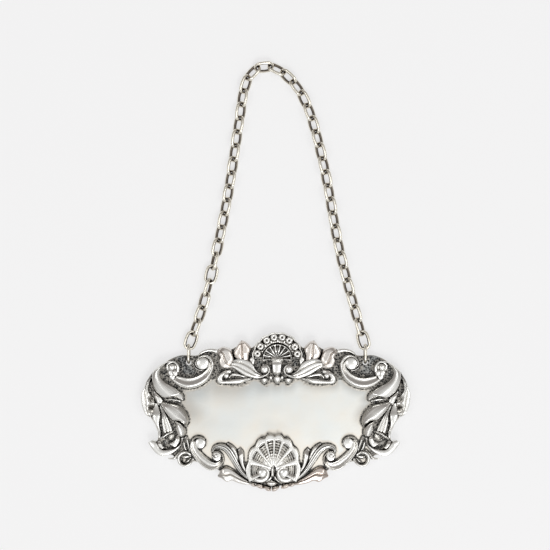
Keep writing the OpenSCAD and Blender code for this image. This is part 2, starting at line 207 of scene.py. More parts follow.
def loft(rings: np.ndarray) -> bpy.types.Object:
    """Makes a closed solid by rolling a grid round a run of closed rings.

    Args:
        rings: Points in metres; the last point of each ring repeats its first.

    Returns:
        The new mesh object, its ends filled and its normals outwards.
    """
    deselect()
    along, round_it = rings.shape[0] - 1, rings.shape[1] - 1
    bpy.ops.mesh.primitive_grid_add(x_subdivisions=round_it, y_subdivisions=along, size=1)
    solid = bpy.context.object
    solid.data.vertices.foreach_set("co", rings.astype(np.float32).ravel())
    bpy.ops.object.mode_set(mode="EDIT")
    bpy.ops.mesh.select_all(action="SELECT")
    bpy.ops.mesh.remove_doubles(threshold=1e-7)
    bpy.ops.mesh.fill_holes(sides=0)
    bpy.ops.mesh.select_all(action="SELECT")
    bpy.ops.mesh.normals_make_consistent(inside=False)
    bpy.ops.object.mode_set(mode="OBJECT")
    return solid


class Side(Enum):
    """Half of the label that an element is built on."""

    LEFT = -1
    MIDDLE = 0
    RIGHT = 1


class Section(Enum):
    """Shape of a strip across its width, from its outer to its inner edge."""

    SCROLL = "scroll"
    CHANNEL = "channel"
    ROLL = "roll"
    DOME = "dome"
    LEAF = "leaf"
    BLADE = "blade"
    CUP = "cup"
    FOLD = "fold"

    def heights(self, v: np.ndarray) -> np.ndarray:
        """Gives the share of the full height across the strip.

        Args:
            v: Places across the strip, 0 at the outer edge and 1 at the inner one.

        Returns:
            The height at each place, from 0 to about 1.
        """
        arch = np.sqrt(np.clip(1 - (2 * v - 1) ** 2, 0, 1))
        shapes = {
            Section.SCROLL: 0.7 + 0.3 * bump(v, 0.3, 0.42) + 0.16 * bump(v, 0.93, 0.13),
            Section.CHANNEL: 0.8 + 0.18 * bump(v, 0.16, 0.22) - 0.14 * bump(v, 0.55, 0.35)
            + 0.12 * bump(v, 0.92, 0.12),
            Section.ROLL: 0.72 + 0.28 * arch,
            Section.DOME: 0.8 + 0.2 * arch,
            Section.LEAF: 0.75 + 0.25 * arch - 0.16 * bump(v, 0.5, 0.08),
            Section.BLADE: 0.82 + 0.14 * arch - 0.12 * bump(v, 0.36, 0.07) - 0.09 * bump(v, 0.68, 0.06),
            Section.CUP: 1.0 - 0.4 * np.sin(np.pi * v) ** 2,
            Section.FOLD: 0.65 + 0.35 * (1 - np.abs(2 * v - 1) ** 1.5) + 0.008 * np.cos(14 * np.pi * v),
        }
        return rounded(v, 0.12) * shapes[self]


@dataclass(frozen=True)
class Drawing:
    """The label's drawing in millimetres, and where it lies in the frame.

    Attributes:
        middle_x: Frame X of the drawing's origin.
        middle_y: Frame Y of the drawing's origin.
        face: Frame Z of the plate's front.
        hole_y: Height of the chain holes in the drawing.
        hinge_y: Height in the drawing of the line that the chain swings on.
        lean: Sideways lean of the casting for each millimetre below the holes.
    """

    middle_x: float
    middle_y: float
    face: float = 1.8
    hole_y: float = 11.0
    hinge_y: float = 12.1
    lean: float = 0.035

    @classmethod
    def from_record(cls, record: dict[str, Any]) -> "Drawing":
        """Places the drawing by the two hinges that the chain swings on.

        Args:
            record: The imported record.

        Returns:
            The placed drawing.
        """
        pos = {j["name"]: j["pos_m"] for j in record["behaviour"]["joints"]}
        left, right = pos["loop_swing"], pos["right_loop_swing"]
        return cls((left[0] + right[0]) / 2 / MM, left[1] / MM - cls.hinge_y)

    def place(self, xy: np.ndarray, side: Side) -> np.ndarray:
        """Puts drawing points in the frame, on either half or astride the leaning middle line.

        Args:
            xy: Points; X counts outwards on the halves and to the right in the middle.
            side: Half of the label.

        Returns:
            Frame points in millimetres.
        """
        lean = self.lean * (self.hole_y - xy[..., 1])
        x = xy[..., 0] - lean
        if side is not Side.MIDDLE:
            x = side.value * x - lean
        return np.stack([x + self.middle_x, xy[..., 1] + self.middle_y], axis=-1)

    def solid(self, xy: np.ndarray, rise: np.ndarray, side: Side) -> bpy.types.Object:
        """Makes a closed solid from a grid of heights over the plate.

        Args:
            xy: Drawing points, rows along the element and columns across it.
            rise: Height of each point above the plate.
            side: Half of the label.

        Returns:
            The closed mesh object, rooted inside the plate.
        """
        flat = self.place(np.concatenate([xy[:, :1], xy, xy[:, -1:], xy[:, :1]], axis=1), side)
        foot = np.full((len(rise), 1), -ROOT)
        z = self.face + np.concatenate([foot, rise, foot, foot], axis=1)
        return loft(np.concatenate([flat, z[..., None]], axis=-1) * MM)


@dataclass(frozen=True)
class Strip:
    """A raised strip of ornament between two edges.

    Attributes:
        outer: Points of one edge.
        inner: Points of the other edge.
        section: Shape across the strip.
        height: Height above the plate.
        start: Share of the height at the first end.
        end: Share of the height at the last end.
        swell: Share of the length over which each end rises to full height.
        along: Steps along the strip.
        across: Steps across the strip.
        ridge: Where the middle of the section lies between the two edges.
        hollows: Dents, each as X, Y, radius and share of the height.
        tone: How far the metal has gone pink and dull, on the left half and on the right.
    """

    outer: Points
    inner: Points
    section: Section
    height: float = 1.6
    start: float = 0.35
    end: float = 0.35
    swell: float = 0.25
    along: int = 72
    across: int = 26
    ridge: float = 0.5
    hollows: Sequence[tuple[float, float, float, float]] = ()
    tone: tuple[float, float] = (0.0, 0.0)

    def build(self, drawing: Drawing, side: Side) -> bpy.types.Object:
        """Models the strip on one side of the label.

        Args:
            drawing: The placed drawing.
            side: Half of the label.

        Returns:
            The closed mesh object.
        """
        u = np.linspace(0, 1, self.along + 1)
        v = 0.5 - 0.5 * np.cos(np.linspace(0, np.pi, self.across + 1))
        a = smooth_line(self.outer, self.along)[:, None]
        b = smooth_line(self.inner, self.along)[:, None]
        first = self.start + (1 - self.start) * ease(u / self.swell)
        last = self.end + (1 - self.end) * ease((1 - u) / self.swell)
        swung = v ** (math.log(0.5) / math.log(self.ridge))
        rise = self.height * (first * last)[:, None] * self.section.heights(swung)
        xy = a * (1 - v[:, None]) + b * v[:, None]
        for x, y, radius, depth in self.hollows:
            rise *= 1 - depth * np.exp(-((xy[..., 0] - x) ** 2 + (xy[..., 1] - y) ** 2) / radius ** 2)
        piece = drawing.solid(xy, rise, side)
        mark_points(piece, "toned", np.full(len(piece.data.vertices), self.tone[side is Side.RIGHT]))
        return piece


@dataclass(frozen=True)
class Boss:
    """A round boss or ball on the plate.

    Attributes:
        centre: Its place in the drawing.
        radius: Its radius.
        height: Its top above the plate.
        stretch: Its length along Y over its width.
        crown: Height of its dome as a share of its radius.
    """

    centre: tuple[float, float]
    radius: float
    height: float
    stretch: float = 1.0
    crown: float = 0.55

    def build(self, drawing: Drawing, side: Side) -> bpy.types.Object:
        """Models the boss on one side of the label.

        Args:
            drawing: The placed drawing.
            side: Half of the label.

        Returns:
            The closed mesh object, a dome on a straight wall that ends inside the plate.
        """
        deselect()
        x, y = drawing.place(np.array(self.centre), side)
        wall = self.height - self.crown * self.radius
        bpy.ops.mesh.primitive_uv_sphere_add(segments=36, ring_count=18, radius=self.radius * MM)
        bpy.ops.object.mode_set(mode="EDIT")
        bpy.ops.mesh.select_all(action="SELECT")
        bpy.ops.transform.resize(value=(1, self.stretch, self.crown))
        bpy.ops.transform.translate(value=(x * MM, y * MM, (drawing.face + wall) * MM))
        cut = (x * MM, y * MM, (drawing.face + wall) * MM)
        bpy.ops.mesh.bisect(plane_co=cut, plane_no=(0, 0, 1), clear_inner=True)
        bpy.ops.mesh.extrude_region_move(TRANSFORM_OT_translate={"value": (0, 0, -(wall + ROOT) * MM)})
        bpy.ops.mesh.edge_face_add()
        bpy.ops.mesh.select_all(action="SELECT")
        bpy.ops.mesh.normals_make_consistent(inside=False)
        bpy.ops.object.mode_set(mode="OBJECT")
        return bpy.context.object


@dataclass(frozen=True)
class Bead:
    """A ring-shaped bead with a pit in it.

    Attributes:
        centre: Its place in the drawing.
        radius: Radius of the ring at the middle of its roll.
        roll: Half thickness of the roll.
        lift: Height of the roll's middle above the plate.
        tall: Height of the roll over its width.
    """

    centre: tuple[float, float]
    radius: float
    roll: float
    lift: float
    tall: float = 1.6

    def build(self, drawing: Drawing, side: Side) -> bpy.types.Object:
        """Models the bead on one side of the label.

        Args:
            drawing: The placed drawing.
            side: Half of the label.

        Returns:
            The closed mesh object.
        """
        deselect()
        x, y = drawing.place(np.array(self.centre), side)
        bpy.ops.mesh.primitive_torus_add(major_radius=self.radius * MM, minor_radius=self.roll * MM,
                                         major_segments=28, minor_segments=14)
        bpy.ops.object.mode_set(mode="EDIT")
        bpy.ops.mesh.select_all(action="SELECT")
        bpy.ops.transform.resize(value=(1, 1, self.tall))
        bpy.ops.transform.translate(value=(x * MM, y * MM, (drawing.face + self.lift) * MM))
        bpy.ops.object.mode_set(mode="OBJECT")
        return bpy.context.object


@dataclass(frozen=True)
class Fan:
    """A fan of ribs round a centre on the middle line.

    Attributes:
        centre_y: Height of its centre in the drawing.
        reach: Its radius along X and along Y.
        turn: First and last angle in degrees, counted from the right.
        count: Number of flutes between its ribs.
        profile: Share of the radius, height and flute depth from the inside out.
        height: Full height above the plate.
        rib: Half width of a rib as a share of the space from rib to rib.
        scallop: How far the edge draws in at each rib, as a share of the radius.
        hatch: Depth of the cross hatching in the flutes, as a share of the height.
        crowd: Width of the middle flutes over the mean width.
        flank: Width of the slope beside a rib, as a share of the space from rib to rib.
        hatched: Shares of the radius between which the hatching lies.
        cut_mm: Distance between two cuts of the hatching.
        steps: Steps across a flute.
        rings: Steps from the inside out.
    """

    centre_y: float
    reach: tuple[float, float]
    turn: tuple[float, float]
    count: int
    profile: Profile
    height: float
    rib: float = 0.1
    scallop: float = 0.0
    hatch: float = 0.0
    crowd: float = 1.0
    flank: float = 0.18
    hatched: tuple[float, float] = (0.25, 0.84)
    # The real cuts are about 0.4 mm apart, and are drawn wider so that they show.
    cut_mm: float = 0.6
    steps: int = 18
    rings: int = 128

    def build(self, drawing: Drawing, side: Side) -> bpy.types.Object:
        """Models the fan.

        Args:
            drawing: The placed drawing.
            side: Half of the label, the middle for a whole fan.

        Returns:
            The closed mesh object.
        """
        u = np.linspace(0, 1, self.steps * self.count + 1)[:, None]
        share, level, depth = smooth_line(self.profile, self.rings).T
        to_rib = 0.5 - np.abs((u * self.count) % 1.0 - 0.5)
        off_rib = ease((to_rib - self.rib) / self.flank)
        cuts = 0.5 + 0.5 * np.cos(2 * np.pi * share * self.reach[1] / self.cut_mm)
        cuts *= ease((share - self.hatched[0]) / 0.3)
        rise = level - off_rib * (depth + self.hatch * np.where(share < self.hatched[1], cuts, 0))
        notch = (0.5 + 0.5 * np.cos(2 * np.pi * u * self.count)) ** 1.5
        radius = share * (1 - self.scallop * ease((share - 0.8) / 0.2) * notch)
        spread = self.crowd * (2 * u - 1) + (1 - self.crowd) * (2 * u - 1) ** 3
        angle = np.radians(self.turn[0] + (self.turn[1] - self.turn[0]) * (spread + 1) / 2)
        xy = np.stack([self.reach[0] * radius * np.cos(angle),
                       self.centre_y + self.reach[1] * radius * np.sin(angle)], axis=-1)
        return drawing.solid(xy, self.height * rise, side)


Element = Strip | Boss | Bead | Fan

UPPER_SCROLL: list[Element] = [
    Strip([(24.64, 9.38), (24.13, 7.84), (23.16, 6.55), (21.75, 5.59), (20.08, 5.14), (18.28, 5.36),
           (16.61, 6.10), (15.26, 7.20), (14.42, 8.61), (13.97, 10.03), (13.99, 11.25), (14.61, 12.28),
           (15.58, 12.86), (16.61, 12.79), (17.51, 12.21), (18.21, 11.44), (18.41, 10.67),
           (17.96, 9.96), (17.06, 9.67), (16.16, 9.96), (15.64, 10.54)],
          [(23.42, 9.00), (23.10, 8.29), (22.26, 8.16), (21.23, 7.97), (19.82, 7.71), (18.53, 7.87),
           (17.25, 8.42), (16.35, 9.06), (15.64, 9.83), (15.42, 10.41), (15.55, 10.93), (15.90, 11.44),
           (16.35, 11.72), (16.86, 11.72), (17.31, 11.47), (17.57, 11.05), (17.57, 10.67),
           (17.31, 10.41), (16.93, 10.31), (16.54, 10.41), (16.35, 10.60)],
          Section.SCROLL, 1.8, 0.6, 0.6, 0.2, along=160),
    Strip([(24.64, 9.25), (24.84, 10.15), (24.32, 11.03), (23.23, 11.42), (22.17, 10.95), (21.66, 9.92),
           (21.80, 8.97), (22.24, 8.23), (22.91, 8.03)],
          [(24.09, 9.38), (24.22, 10.13), (23.91, 10.69), (23.27, 10.93), (22.71, 10.64),
           (22.55, 10.00), (22.65, 9.38), (22.91, 8.93), (23.19, 8.55)],
          Section.ROLL, 1.7, 0.8, 0.7, 0.3, across=16),
    Strip([(17.70, 12.41), (17.18, 13.31), (16.09, 13.91), (14.81, 14.17), (13.65, 14.08),
           (12.75, 13.76)],
          [(17.31, 12.21), (16.86, 12.86), (15.96, 13.27), (14.91, 13.40), (13.90, 13.18),
           (13.13, 12.73)],
          Section.ROLL, 1.2, 0.5, 0.8, 0.2, across=18),
    Strip([(18.86, 10.54), (18.34, 9.67), (17.53, 9.18), (16.71, 9.18), (15.83, 9.83), (15.35, 10.60)],
          [(18.51, 10.64), (18.12, 9.96), (17.44, 9.51), (16.80, 9.51), (16.07, 10.09), (15.67, 10.80)],
          Section.ROLL, 1.0, 0.5, 0.8, 0.2, across=14),
    Boss((23.42, 9.90), 1.1, 1.55, crown=0.3),
    Boss((23.50, 10.03), 0.76, 1.8),
    Boss((22.75, 8.74), 0.7, 1.8, 1.1),
    Boss((23.61, 8.80), 0.72, 1.6, crown=0.3),
    Boss((23.37, 7.89), 0.65, 1.6, crown=0.3),
    Boss((16.68, 10.90), 1.5, 1.75, 0.95, crown=0.24),
]

SIDE_LEAF: list[Element] = [
    Strip([(23.42, 11.25), (24.71, 10.67), (25.67, 9.77), (26.06, 8.74), (25.80, 7.71), (24.96, 6.81),
           (23.68, 6.04), (22.39, 5.27), (21.49, 4.50), (20.98, 3.73), (20.87, 2.76)],
          [(23.93, 11.38), (25.48, 10.93), (26.76, 10.03), (27.73, 9.06), (28.08, 7.84), (28.05, 6.62),
           (27.77, 5.40), (27.02, 4.24), (25.61, 3.15), (23.42, 3.34), (21.11, 2.54)],
          Section.FOLD, 1.9, 0.5, 0.5, 0.2, along=110),
    Strip([(24.96, 2.83), (23.42, 2.89), (21.62, 2.50)],
          [(24.96, 2.50), (23.42, 2.54), (21.75, 2.18)],
          Section.ROLL, 0.7, 0.5, 0.5, 0.3, 32, 14),
    Strip([(25.99, 2.50), (24.45, 2.18), (22.91, 1.93), (21.62, 1.44), (20.78, 0.64), (20.14, -0.33),
           (19.78, -1.35), (19.76, -2.32), (20.21, -3.19)],
          [(26.44, 2.12), (25.67, 0.90), (24.96, -0.26), (24.19, -1.29), (23.42, -1.93), (22.65, -2.00),
           (21.88, -2.06), (20.98, -2.70), (20.40, -3.24)],
          Section.FOLD, 1.8, 0.6, 0.5, 0.2, along=84, ridge=0.64),
    Strip([(22.33, -1.89), (21.56, -2.36), (20.85, -3.03), (20.40, -3.93), (20.46, -5.02),
           (20.85, -5.47)],
          [(22.91, -2.19), (22.58, -3.03), (22.58, -4.05), (22.39, -4.89), (21.94, -5.53),
           (21.36, -5.60)],
          Section.FOLD, 1.6, 0.7, 0.6, 0.25, 56, ridge=0.6),
    Strip([(27.73, 4.63), (27.28, 3.21), (26.89, 2.05), (26.70, 1.54)],
          [(26.89, 4.18), (25.74, 3.08), (25.48, 2.31), (26.12, 1.67)],
          Section.DOME, 1.4, 0.7, 0.7, 0.3, 40, 20),
    Strip([(27.28, 1.93), (27.77, 0.25), (27.92, -0.78), (27.73, -1.80), (27.09, -2.96), (26.70, -3.48),
           (26.70, -4.50), (26.48, -5.92)],
          [(26.70, 1.80), (26.12, 0.25), (25.93, -1.03), (26.19, -2.45), (26.10, -3.48), (25.93, -4.38),
           (25.93, -4.89), (25.99, -5.79)],
          Section.DOME, 1.7, 0.6, 0.5, 0.3, across=22),
    Strip([(26.19, 1.02), (25.74, -0.78), (25.84, -2.32), (25.67, -3.73), (25.41, -4.76),
           (24.71, -5.08)],
          [(26.06, 1.67), (24.96, -0.26), (23.93, -2.19), (23.36, -3.60), (23.23, -4.25),
           (23.42, -4.70)],
          Section.BLADE, 1.5, 0.6, 0.7, 0.3, across=32),
    Strip([(26.31, -5.98), (25.48, -5.28), (24.45, -4.57), (23.23, -4.12)],
          [(25.67, -6.11), (25.03, -5.60), (24.13, -5.02), (23.23, -4.70)],
          Section.ROLL, 1.9, 0.6, 0.6, 0.3, 40, 18),
    Strip([(23.23, -4.76), (22.84, -5.28), (23.36, -6.05), (24.45, -6.37)],
          [(23.93, -4.95), (24.13, -5.34), (24.39, -5.79), (24.71, -6.11)],
          Section.CUP, 0.9, 0.7, 0.6, 0.3, 32, 20),
    Strip([(21.81, -5.53), (21.62, -6.18), (21.90, -7.08), (22.52, -7.85), (23.42, -8.00)],
          [(22.39, -5.08), (22.71, -5.92), (23.16, -6.56), (24.13, -6.97), (23.93, -7.46)],
          Section.DOME, 1.6, 0.7, 0.5, 0.25, 48, 22),
    Strip([(20.91, -5.79), (21.21, -6.95), (21.98, -8.10), (23.27, -9.16), (24.71, -9.80),
           (26.12, -9.80), (27.28, -9.03), (28.15, -8.00), (28.85, -6.84)],
          [(21.52, -5.92), (21.85, -7.33), (22.78, -8.04), (24.06, -8.34), (25.35, -8.39),
           (26.10, -8.00), (26.53, -7.27), (27.05, -6.54), (27.82, -6.28)],
          Section.DOME, 1.6, 0.5, 0.9, 0.2, along=90, ridge=0.45),
    Strip([(26.83, -6.66), (26.70, -7.46), (25.99, -8.23), (25.09, -8.43)],
          [(25.99, -6.50), (25.67, -7.20), (25.29, -7.72), (24.58, -8.08)],
          Section.DOME, 1.3, 0.7, 0.5, 0.3, 36, 18),
    Strip([(27.86, 8.87), (28.69, 7.65), (29.34, 6.62), (29.75, 5.40), (30.30, 4.37), (30.49, 2.95),
           (30.36, 1.54), (29.95, 0.25), (29.34, -0.78), (28.56, -1.14)],
          [(27.92, 8.35), (28.28, 7.26), (28.63, 6.04), (28.76, 4.75), (28.24, 3.92), (27.54, 3.02),
           (27.21, 2.05), (27.28, 0.77), (27.60, -0.39), (28.11, -1.03)],
          Section.BLADE, 1.6, 0.5, 0.6, 0.2, along=96, across=34,
          hollows=((27.92, 2.89, 0.6, 0.9), (28.0, 0.77, 0.8, 1.0))),
]

LOWER_SCROLL: list[Element] = [
    Strip([(17.31, -8.32), (16.48, -8.00), (15.94, -7.16), (16.16, -6.13), (16.86, -5.59),
           (17.83, -5.46), (18.73, -5.87), (19.37, -6.77), (19.56, -7.87), (19.31, -8.96),
           (18.66, -10.05), (17.83, -11.21), (16.86, -12.17), (15.71, -12.95), (14.48, -13.23),
           (13.33, -12.84), (12.43, -12.05), (11.95, -11.02), (12.00, -9.99), (12.55, -9.15),
           (13.26, -8.70), (13.97, -8.77), (14.42, -9.35), (14.23, -9.99), (13.65, -10.25),
           (13.20, -10.05)],
          [(17.18, -8.00), (16.86, -7.61), (16.73, -7.16), (16.86, -6.71), (17.18, -6.52),
           (17.57, -6.58), (17.83, -6.84), (17.89, -7.22), (17.76, -7.74), (17.44, -8.25),
           (16.99, -8.90), (16.35, -9.60), (15.64, -10.18), (14.91, -10.70), (14.16, -11.08),
           (13.52, -11.21), (12.98, -10.95), (12.72, -10.50), (12.75, -9.99), (13.03, -9.63),
           (13.39, -9.47), (13.67, -9.58), (13.78, -9.76), (13.71, -9.92), (13.54, -9.96),
           (13.42, -9.89)],
          Section.CHANNEL, 1.8, 0.95, 0.95, 0.1, along=200),
    Boss((17.09, -6.93), 1.25, 1.78, crown=0.22),
    Boss((13.44, -9.83), 1.1, 1.62, crown=0.15),
    Boss((13.57, -9.77), 0.42, 1.85, crown=0.4),
    Strip([(19.18, -9.35), (20.21, -8.70), (21.36, -8.83), (22.20, -9.73), (22.37, -10.76),
           (21.88, -11.79), (20.85, -12.33), (19.69, -12.05), (18.79, -11.27), (18.47, -10.50)],
          [(19.43, -9.86), (20.21, -9.41), (20.98, -9.47), (21.52, -10.05), (21.59, -10.76),
           (21.30, -11.40), (20.66, -11.72), (19.95, -11.53), (19.37, -11.02), (19.11, -10.44)],
          Section.ROLL, 1.5, 0.6, 0.6, 0.2, across=18),
    Strip([(21.11, -9.76), (20.21, -9.76), (19.18, -9.71)],
          [(20.95, -10.57), (20.21, -10.31), (19.37, -10.12)],
          Section.DOME, 1.1, 0.7, 0.7, 0.3, 32, 18),
    Strip([(20.53, -11.47), (19.82, -11.21), (19.18, -10.50)],
          [(20.36, -11.15), (19.97, -10.82), (19.37, -10.27)],
          Section.ROLL, 0.9, 0.7, 0.7, 0.3, 32, 16),
    Strip([(20.62, -5.55), (20.23, -6.77), (19.85, -8.06), (19.52, -9.35)],
          [(20.18, -5.49), (19.72, -6.77), (19.46, -7.80), (19.24, -8.83)],
          Section.ROLL, 1.2, 0.6, 0.6, 0.2, 40, 16),
    Strip([(21.13, -6.26), (20.91, -7.80), (20.46, -8.83)],
          [(20.66, -6.39), (20.44, -7.80), (19.88, -9.02)],
          Section.ROLL, 0.9, 0.5, 0.6, 0.2, 36, 14),
    Strip([(21.30, -8.38), (22.13, -9.09), (23.23, -10.18), (24.45, -10.44)],
          [(20.98, -8.83), (21.81, -9.54), (22.71, -10.70), (23.93, -10.76)],
          Section.FOLD, 0.9, 0.6, 0.5, 0.3, 36, 16),
]

TOP_SPRAY: list[Element] = [
    Strip([(3.44, 8.52), (4.21, 9.00), (4.94, 9.99), (5.36, 10.95), (6.14, 11.61), (7.10, 11.99),
           (8.16, 12.15), (9.22, 11.92), (10.09, 11.41), (10.73, 10.89)],
          [(2.47, 7.87), (3.82, 7.48), (5.27, 7.48), (6.72, 7.79), (7.78, 8.25), (8.74, 8.87),
           (9.42, 9.37), (9.96, 9.79), (10.42, 10.12), (10.86, 10.41)],
          Section.BLADE, 1.8, 0.8, 0.8, 0.2, along=90, across=36),
    Strip([(8.74, 11.28), (9.57, 12.24), (9.88, 13.25), (9.26, 14.21), (8.64, 15.23), (8.07, 15.89)],
          [(6.23, 11.28), (6.04, 12.82), (5.69, 14.08), (6.43, 15.19), (7.10, 15.71), (7.80, 15.97)],
          Section.LEAF, 1.8, 0.8, 0.4, 0.3, 64, 30, tone=(0.55, 0.4)),
    Strip([(10.09, 9.87), (11.34, 9.68), (12.58, 10.10), (13.04, 11.28), (12.73, 12.15), (13.35, 13.11),
           (13.27, 13.84)],
          [(9.22, 10.89), (9.45, 11.95), (9.69, 12.92), (10.07, 13.82), (10.92, 14.31), (12.12, 14.56),
           (13.12, 14.08)],
          Section.LEAF, 1.8, 0.8, 0.4, 0.3, 64, 30, 0.4, tone=(0.3, 0.35)),
    Strip([(6.37, 11.14), (6.10, 12.03), (5.65, 12.42), (5.17, 12.30)],
          [(5.27, 9.93), (5.02, 10.70), (4.90, 11.38), (4.86, 11.95)],
          Section.DOME, 1.6, 0.7, 0.5, 0.3, 36, 18),
    Strip([(10.38, 9.49), (11.92, 9.20), (12.98, 8.39), (13.50, 7.23), (13.02, 6.32), (11.54, 6.26),
           (9.99, 6.21), (8.45, 6.32), (6.91, 6.80), (5.65, 7.36)],
          [(10.42, 8.60), (11.31, 8.44), (11.88, 7.98), (12.08, 7.44), (11.81, 7.13), (10.96, 7.13),
           (9.80, 7.33), (8.64, 7.52), (7.29, 7.52), (5.85, 7.56)],
          Section.ROLL, 1.5, 0.6, 0.5, 0.2, along=96, across=18),
    Strip([(10.96, 7.90), (9.99, 8.64), (8.64, 8.58), (7.29, 8.14), (5.94, 7.65)],
          [(10.61, 7.48), (9.84, 7.98), (8.64, 7.90), (7.49, 7.63), (6.23, 7.42)],
          Section.ROLL, 1.0, 0.6, 0.5, 0.3, 40, 16),
    Boss((11.34, 8.14), 0.6, 1.4),
]

BOTTOM_SPRAY: list[Element] = [
    Strip([(14.67, -8.94), (14.24, -7.74), (12.87, -7.14), (11.33, -7.34), (10.22, -8.17),
           (9.53, -9.20), (8.93, -10.40), (8.24, -11.94), (7.39, -13.31), (6.36, -14.17),
           (5.16, -14.85)],
          [(14.07, -9.06), (13.56, -8.37), (12.70, -8.17), (11.84, -8.68), (10.99, -9.71),
           (10.13, -11.08), (9.10, -12.62), (7.90, -14.00), (6.53, -15.06), (5.16, -15.66),
           (3.96, -15.74)],
          Section.BLADE, 1.8, 0.6, 0.6, 0.2, along=110, across=36),
    Strip([(11.19, -7.22), (10.39, -8.03), (9.70, -9.11), (9.05, -10.40), (8.42, -11.77)],
          [(10.90, -6.97), (9.79, -7.69), (9.07, -8.60), (8.67, -9.88), (8.24, -11.42)],
          Section.DOME, 1.7, 0.5, 0.5, 0.3, 56, 20),
    Strip([(8.79, -8.77), (8.67, -9.88), (8.33, -11.25), (7.73, -12.62), (6.87, -13.69),
           (5.84, -14.34)],
          [(8.19, -8.05), (7.52, -8.94), (7.44, -10.22), (7.35, -11.60), (6.75, -12.97),
           (5.67, -14.00)],
          Section.DOME, 1.6, 0.5, 0.5, 0.25, 64, 20),
    Strip([(13.22, -14.13), (12.70, -12.97), (11.76, -12.25), (10.82, -12.33), (9.62, -13.10),
           (8.07, -14.34), (6.36, -15.40), (4.64, -16.00)],
          [(13.32, -14.61), (12.36, -15.02), (11.24, -15.78), (10.04, -15.50), (8.76, -16.00),
           (7.22, -16.31), (5.67, -16.40), (4.30, -16.36)],
          Section.LEAF, 1.5, 0.5, 0.5, 0.25, along=80, across=30, tone=(0.15, 0.7)),
]

# Ring that the crest's beads lie on: its radius, the height of its centre, and their angles in degrees
BEAD_RING = 4.5
BEAD_RING_Y = 12.3
BEAD_TURNS = (9, 31, 55.5, 78, 101, 123.5, 148, 170)

CREST_MIDDLE: list[Element] = [
    Fan(12.3, (5.8, 5.65), (-4, 184), 8,
        [(0.5, 0.35, 0.0), (0.58, 0.55, 0.06), (0.72, 0.62, 0.14), (0.86, 0.64, 0.1), (0.92, 0.82, 0.02),
         (0.97, 0.84, 0.0), (1.0, 0.55, 0.0)], 1.9, 0.06, 0.035),
    *(Bead((BEAD_RING * math.cos(a), BEAD_RING_Y + BEAD_RING * math.sin(a)), 0.46, 0.46, 1.15)
      for a in map(math.radians, BEAD_TURNS)),
    Fan(12.05, (3.3, 3.15), (-10, 190), 9,
        [(0.05, 0.9, 0.0), (0.4, 0.95, 0.18), (0.6, 1.0, 0.3), (0.8, 1.0, 0.34), (0.88, 0.98, 0.26),
         (0.92, 1.05, 0.0), (0.97, 1.0, 0.0), (1.0, 0.5, 0.0)], 1.8, 0.1),
    Strip([(1.38, 11.28), (1.26, 10.60), (1.16, 9.64), (1.09, 8.87), (0.80, 8.41)],
          [(-1.42, 11.28), (-1.28, 10.60), (-1.15, 9.64), (-1.01, 8.87), (-0.70, 8.41)],
          Section.DOME, 2.2, 0.9, 0.6, 0.3, 60),
    Strip([(1.53, 12.24), (1.71, 11.72), (1.38, 11.11)],
          [(-1.51, 12.24), (-1.65, 11.72), (-1.36, 11.11)],
          Section.DOME, 2.4, 0.8, 0.8, 0.5, 24),
    Strip([(0.75, 8.19), (1.17, 7.29), (0.55, 6.32)],
          [(-0.45, 8.19), (-0.76, 7.29), (-0.11, 6.32)],
          Section.FOLD, 1.1, 0.7, 0.4, 0.3, 32, 18),
]

CREST_SIDES: list[Element] = [
    Boss((2.76, 9.60), 0.95, 2.05),
    Strip([(4.98, 8.06), (3.73, 7.87), (2.38, 8.06), (1.57, 8.96), (1.57, 10.03), (2.38, 10.70),
           (3.34, 10.70)],
          [(4.69, 8.48), (3.63, 8.29), (2.57, 8.48), (2.05, 9.06), (2.01, 9.83), (2.51, 10.30),
           (3.20, 10.30)],
          Section.ROLL, 1.9, 0.6, 0.7, 0.25, 60, 16),
    Strip([(3.47, 7.61), (3.67, 7.09), (3.20, 6.26)],
          [(2.38, 7.75), (1.97, 7.17), (2.51, 6.26)],
          Section.FOLD, 1.1, 0.7, 0.4, 0.3, 32, 18),
    Strip([(1.60, 8.14), (1.74, 7.67), (1.39, 6.94)],
          [(1.20, 8.14), (1.04, 7.61), (1.28, 6.90)],
          Section.ROLL, 0.9, 0.7, 0.4, 0.3, 24, 14),
]

SHELL_MIDDLE: list[Element] = [
    Fan(-12.6, (6.2, 7.75), (-24, 204), 8,
        [(0.1, 0.88, 0.0), (0.22, 0.93, 0.06), (0.4, 0.96, 0.12), (0.6, 0.97, 0.15), (0.76, 0.97, 0.16),
         (0.81, 0.97, 0.11), (0.85, 0.96, 0.0), (0.9, 0.96, 0.0), (0.95, 0.95, 0.0), (0.985, 0.88, 0.0),
         (1.0, 0.4, 0.0)], 2.1, 0.1, 0.06, 0.13, 0.75),
    Strip([(0.36, -11.94), (0.22, -12.88), (0.22, -14.00), (0.40, -14.48)],
          [(-0.84, -11.94), (-0.59, -12.88), (-0.51, -14.00), (-0.60, -14.48)],
          Section.ROLL, 1.9, 0.9, 0.6, 0.3, 36, 18),
    Strip([(-1.78, -15.85), (-1.15, -15.40), (-0.39, -15.11), (0.48, -15.45), (1.27, -15.85)],
          [(-1.78, -16.00), (-1.03, -16.43), (-0.25, -16.74), (0.60, -16.40), (1.27, -16.00)],
          Section.FOLD, 1.6, 0.5, 0.5, 0.3, 40, 22),
    Strip([(-2.11, -16.40), (-1.28, -16.57), (-0.31, -16.88)],
          [(-1.94, -17.18), (-1.24, -17.73), (-0.34, -17.84)],
          Section.FOLD, 1.3, 0.5, 0.5, 0.3, 32, 20, tone=(0.6, 0.6)),
    Strip([(-0.21, -16.88), (0.61, -16.60), (1.56, -16.40)],
          [(-0.10, -17.90), (0.65, -17.80), (1.48, -17.18)],
          Section.FOLD, 1.35, 0.5, 0.5, 0.3, 32, 20, tone=(0.6, 0.6)),
]

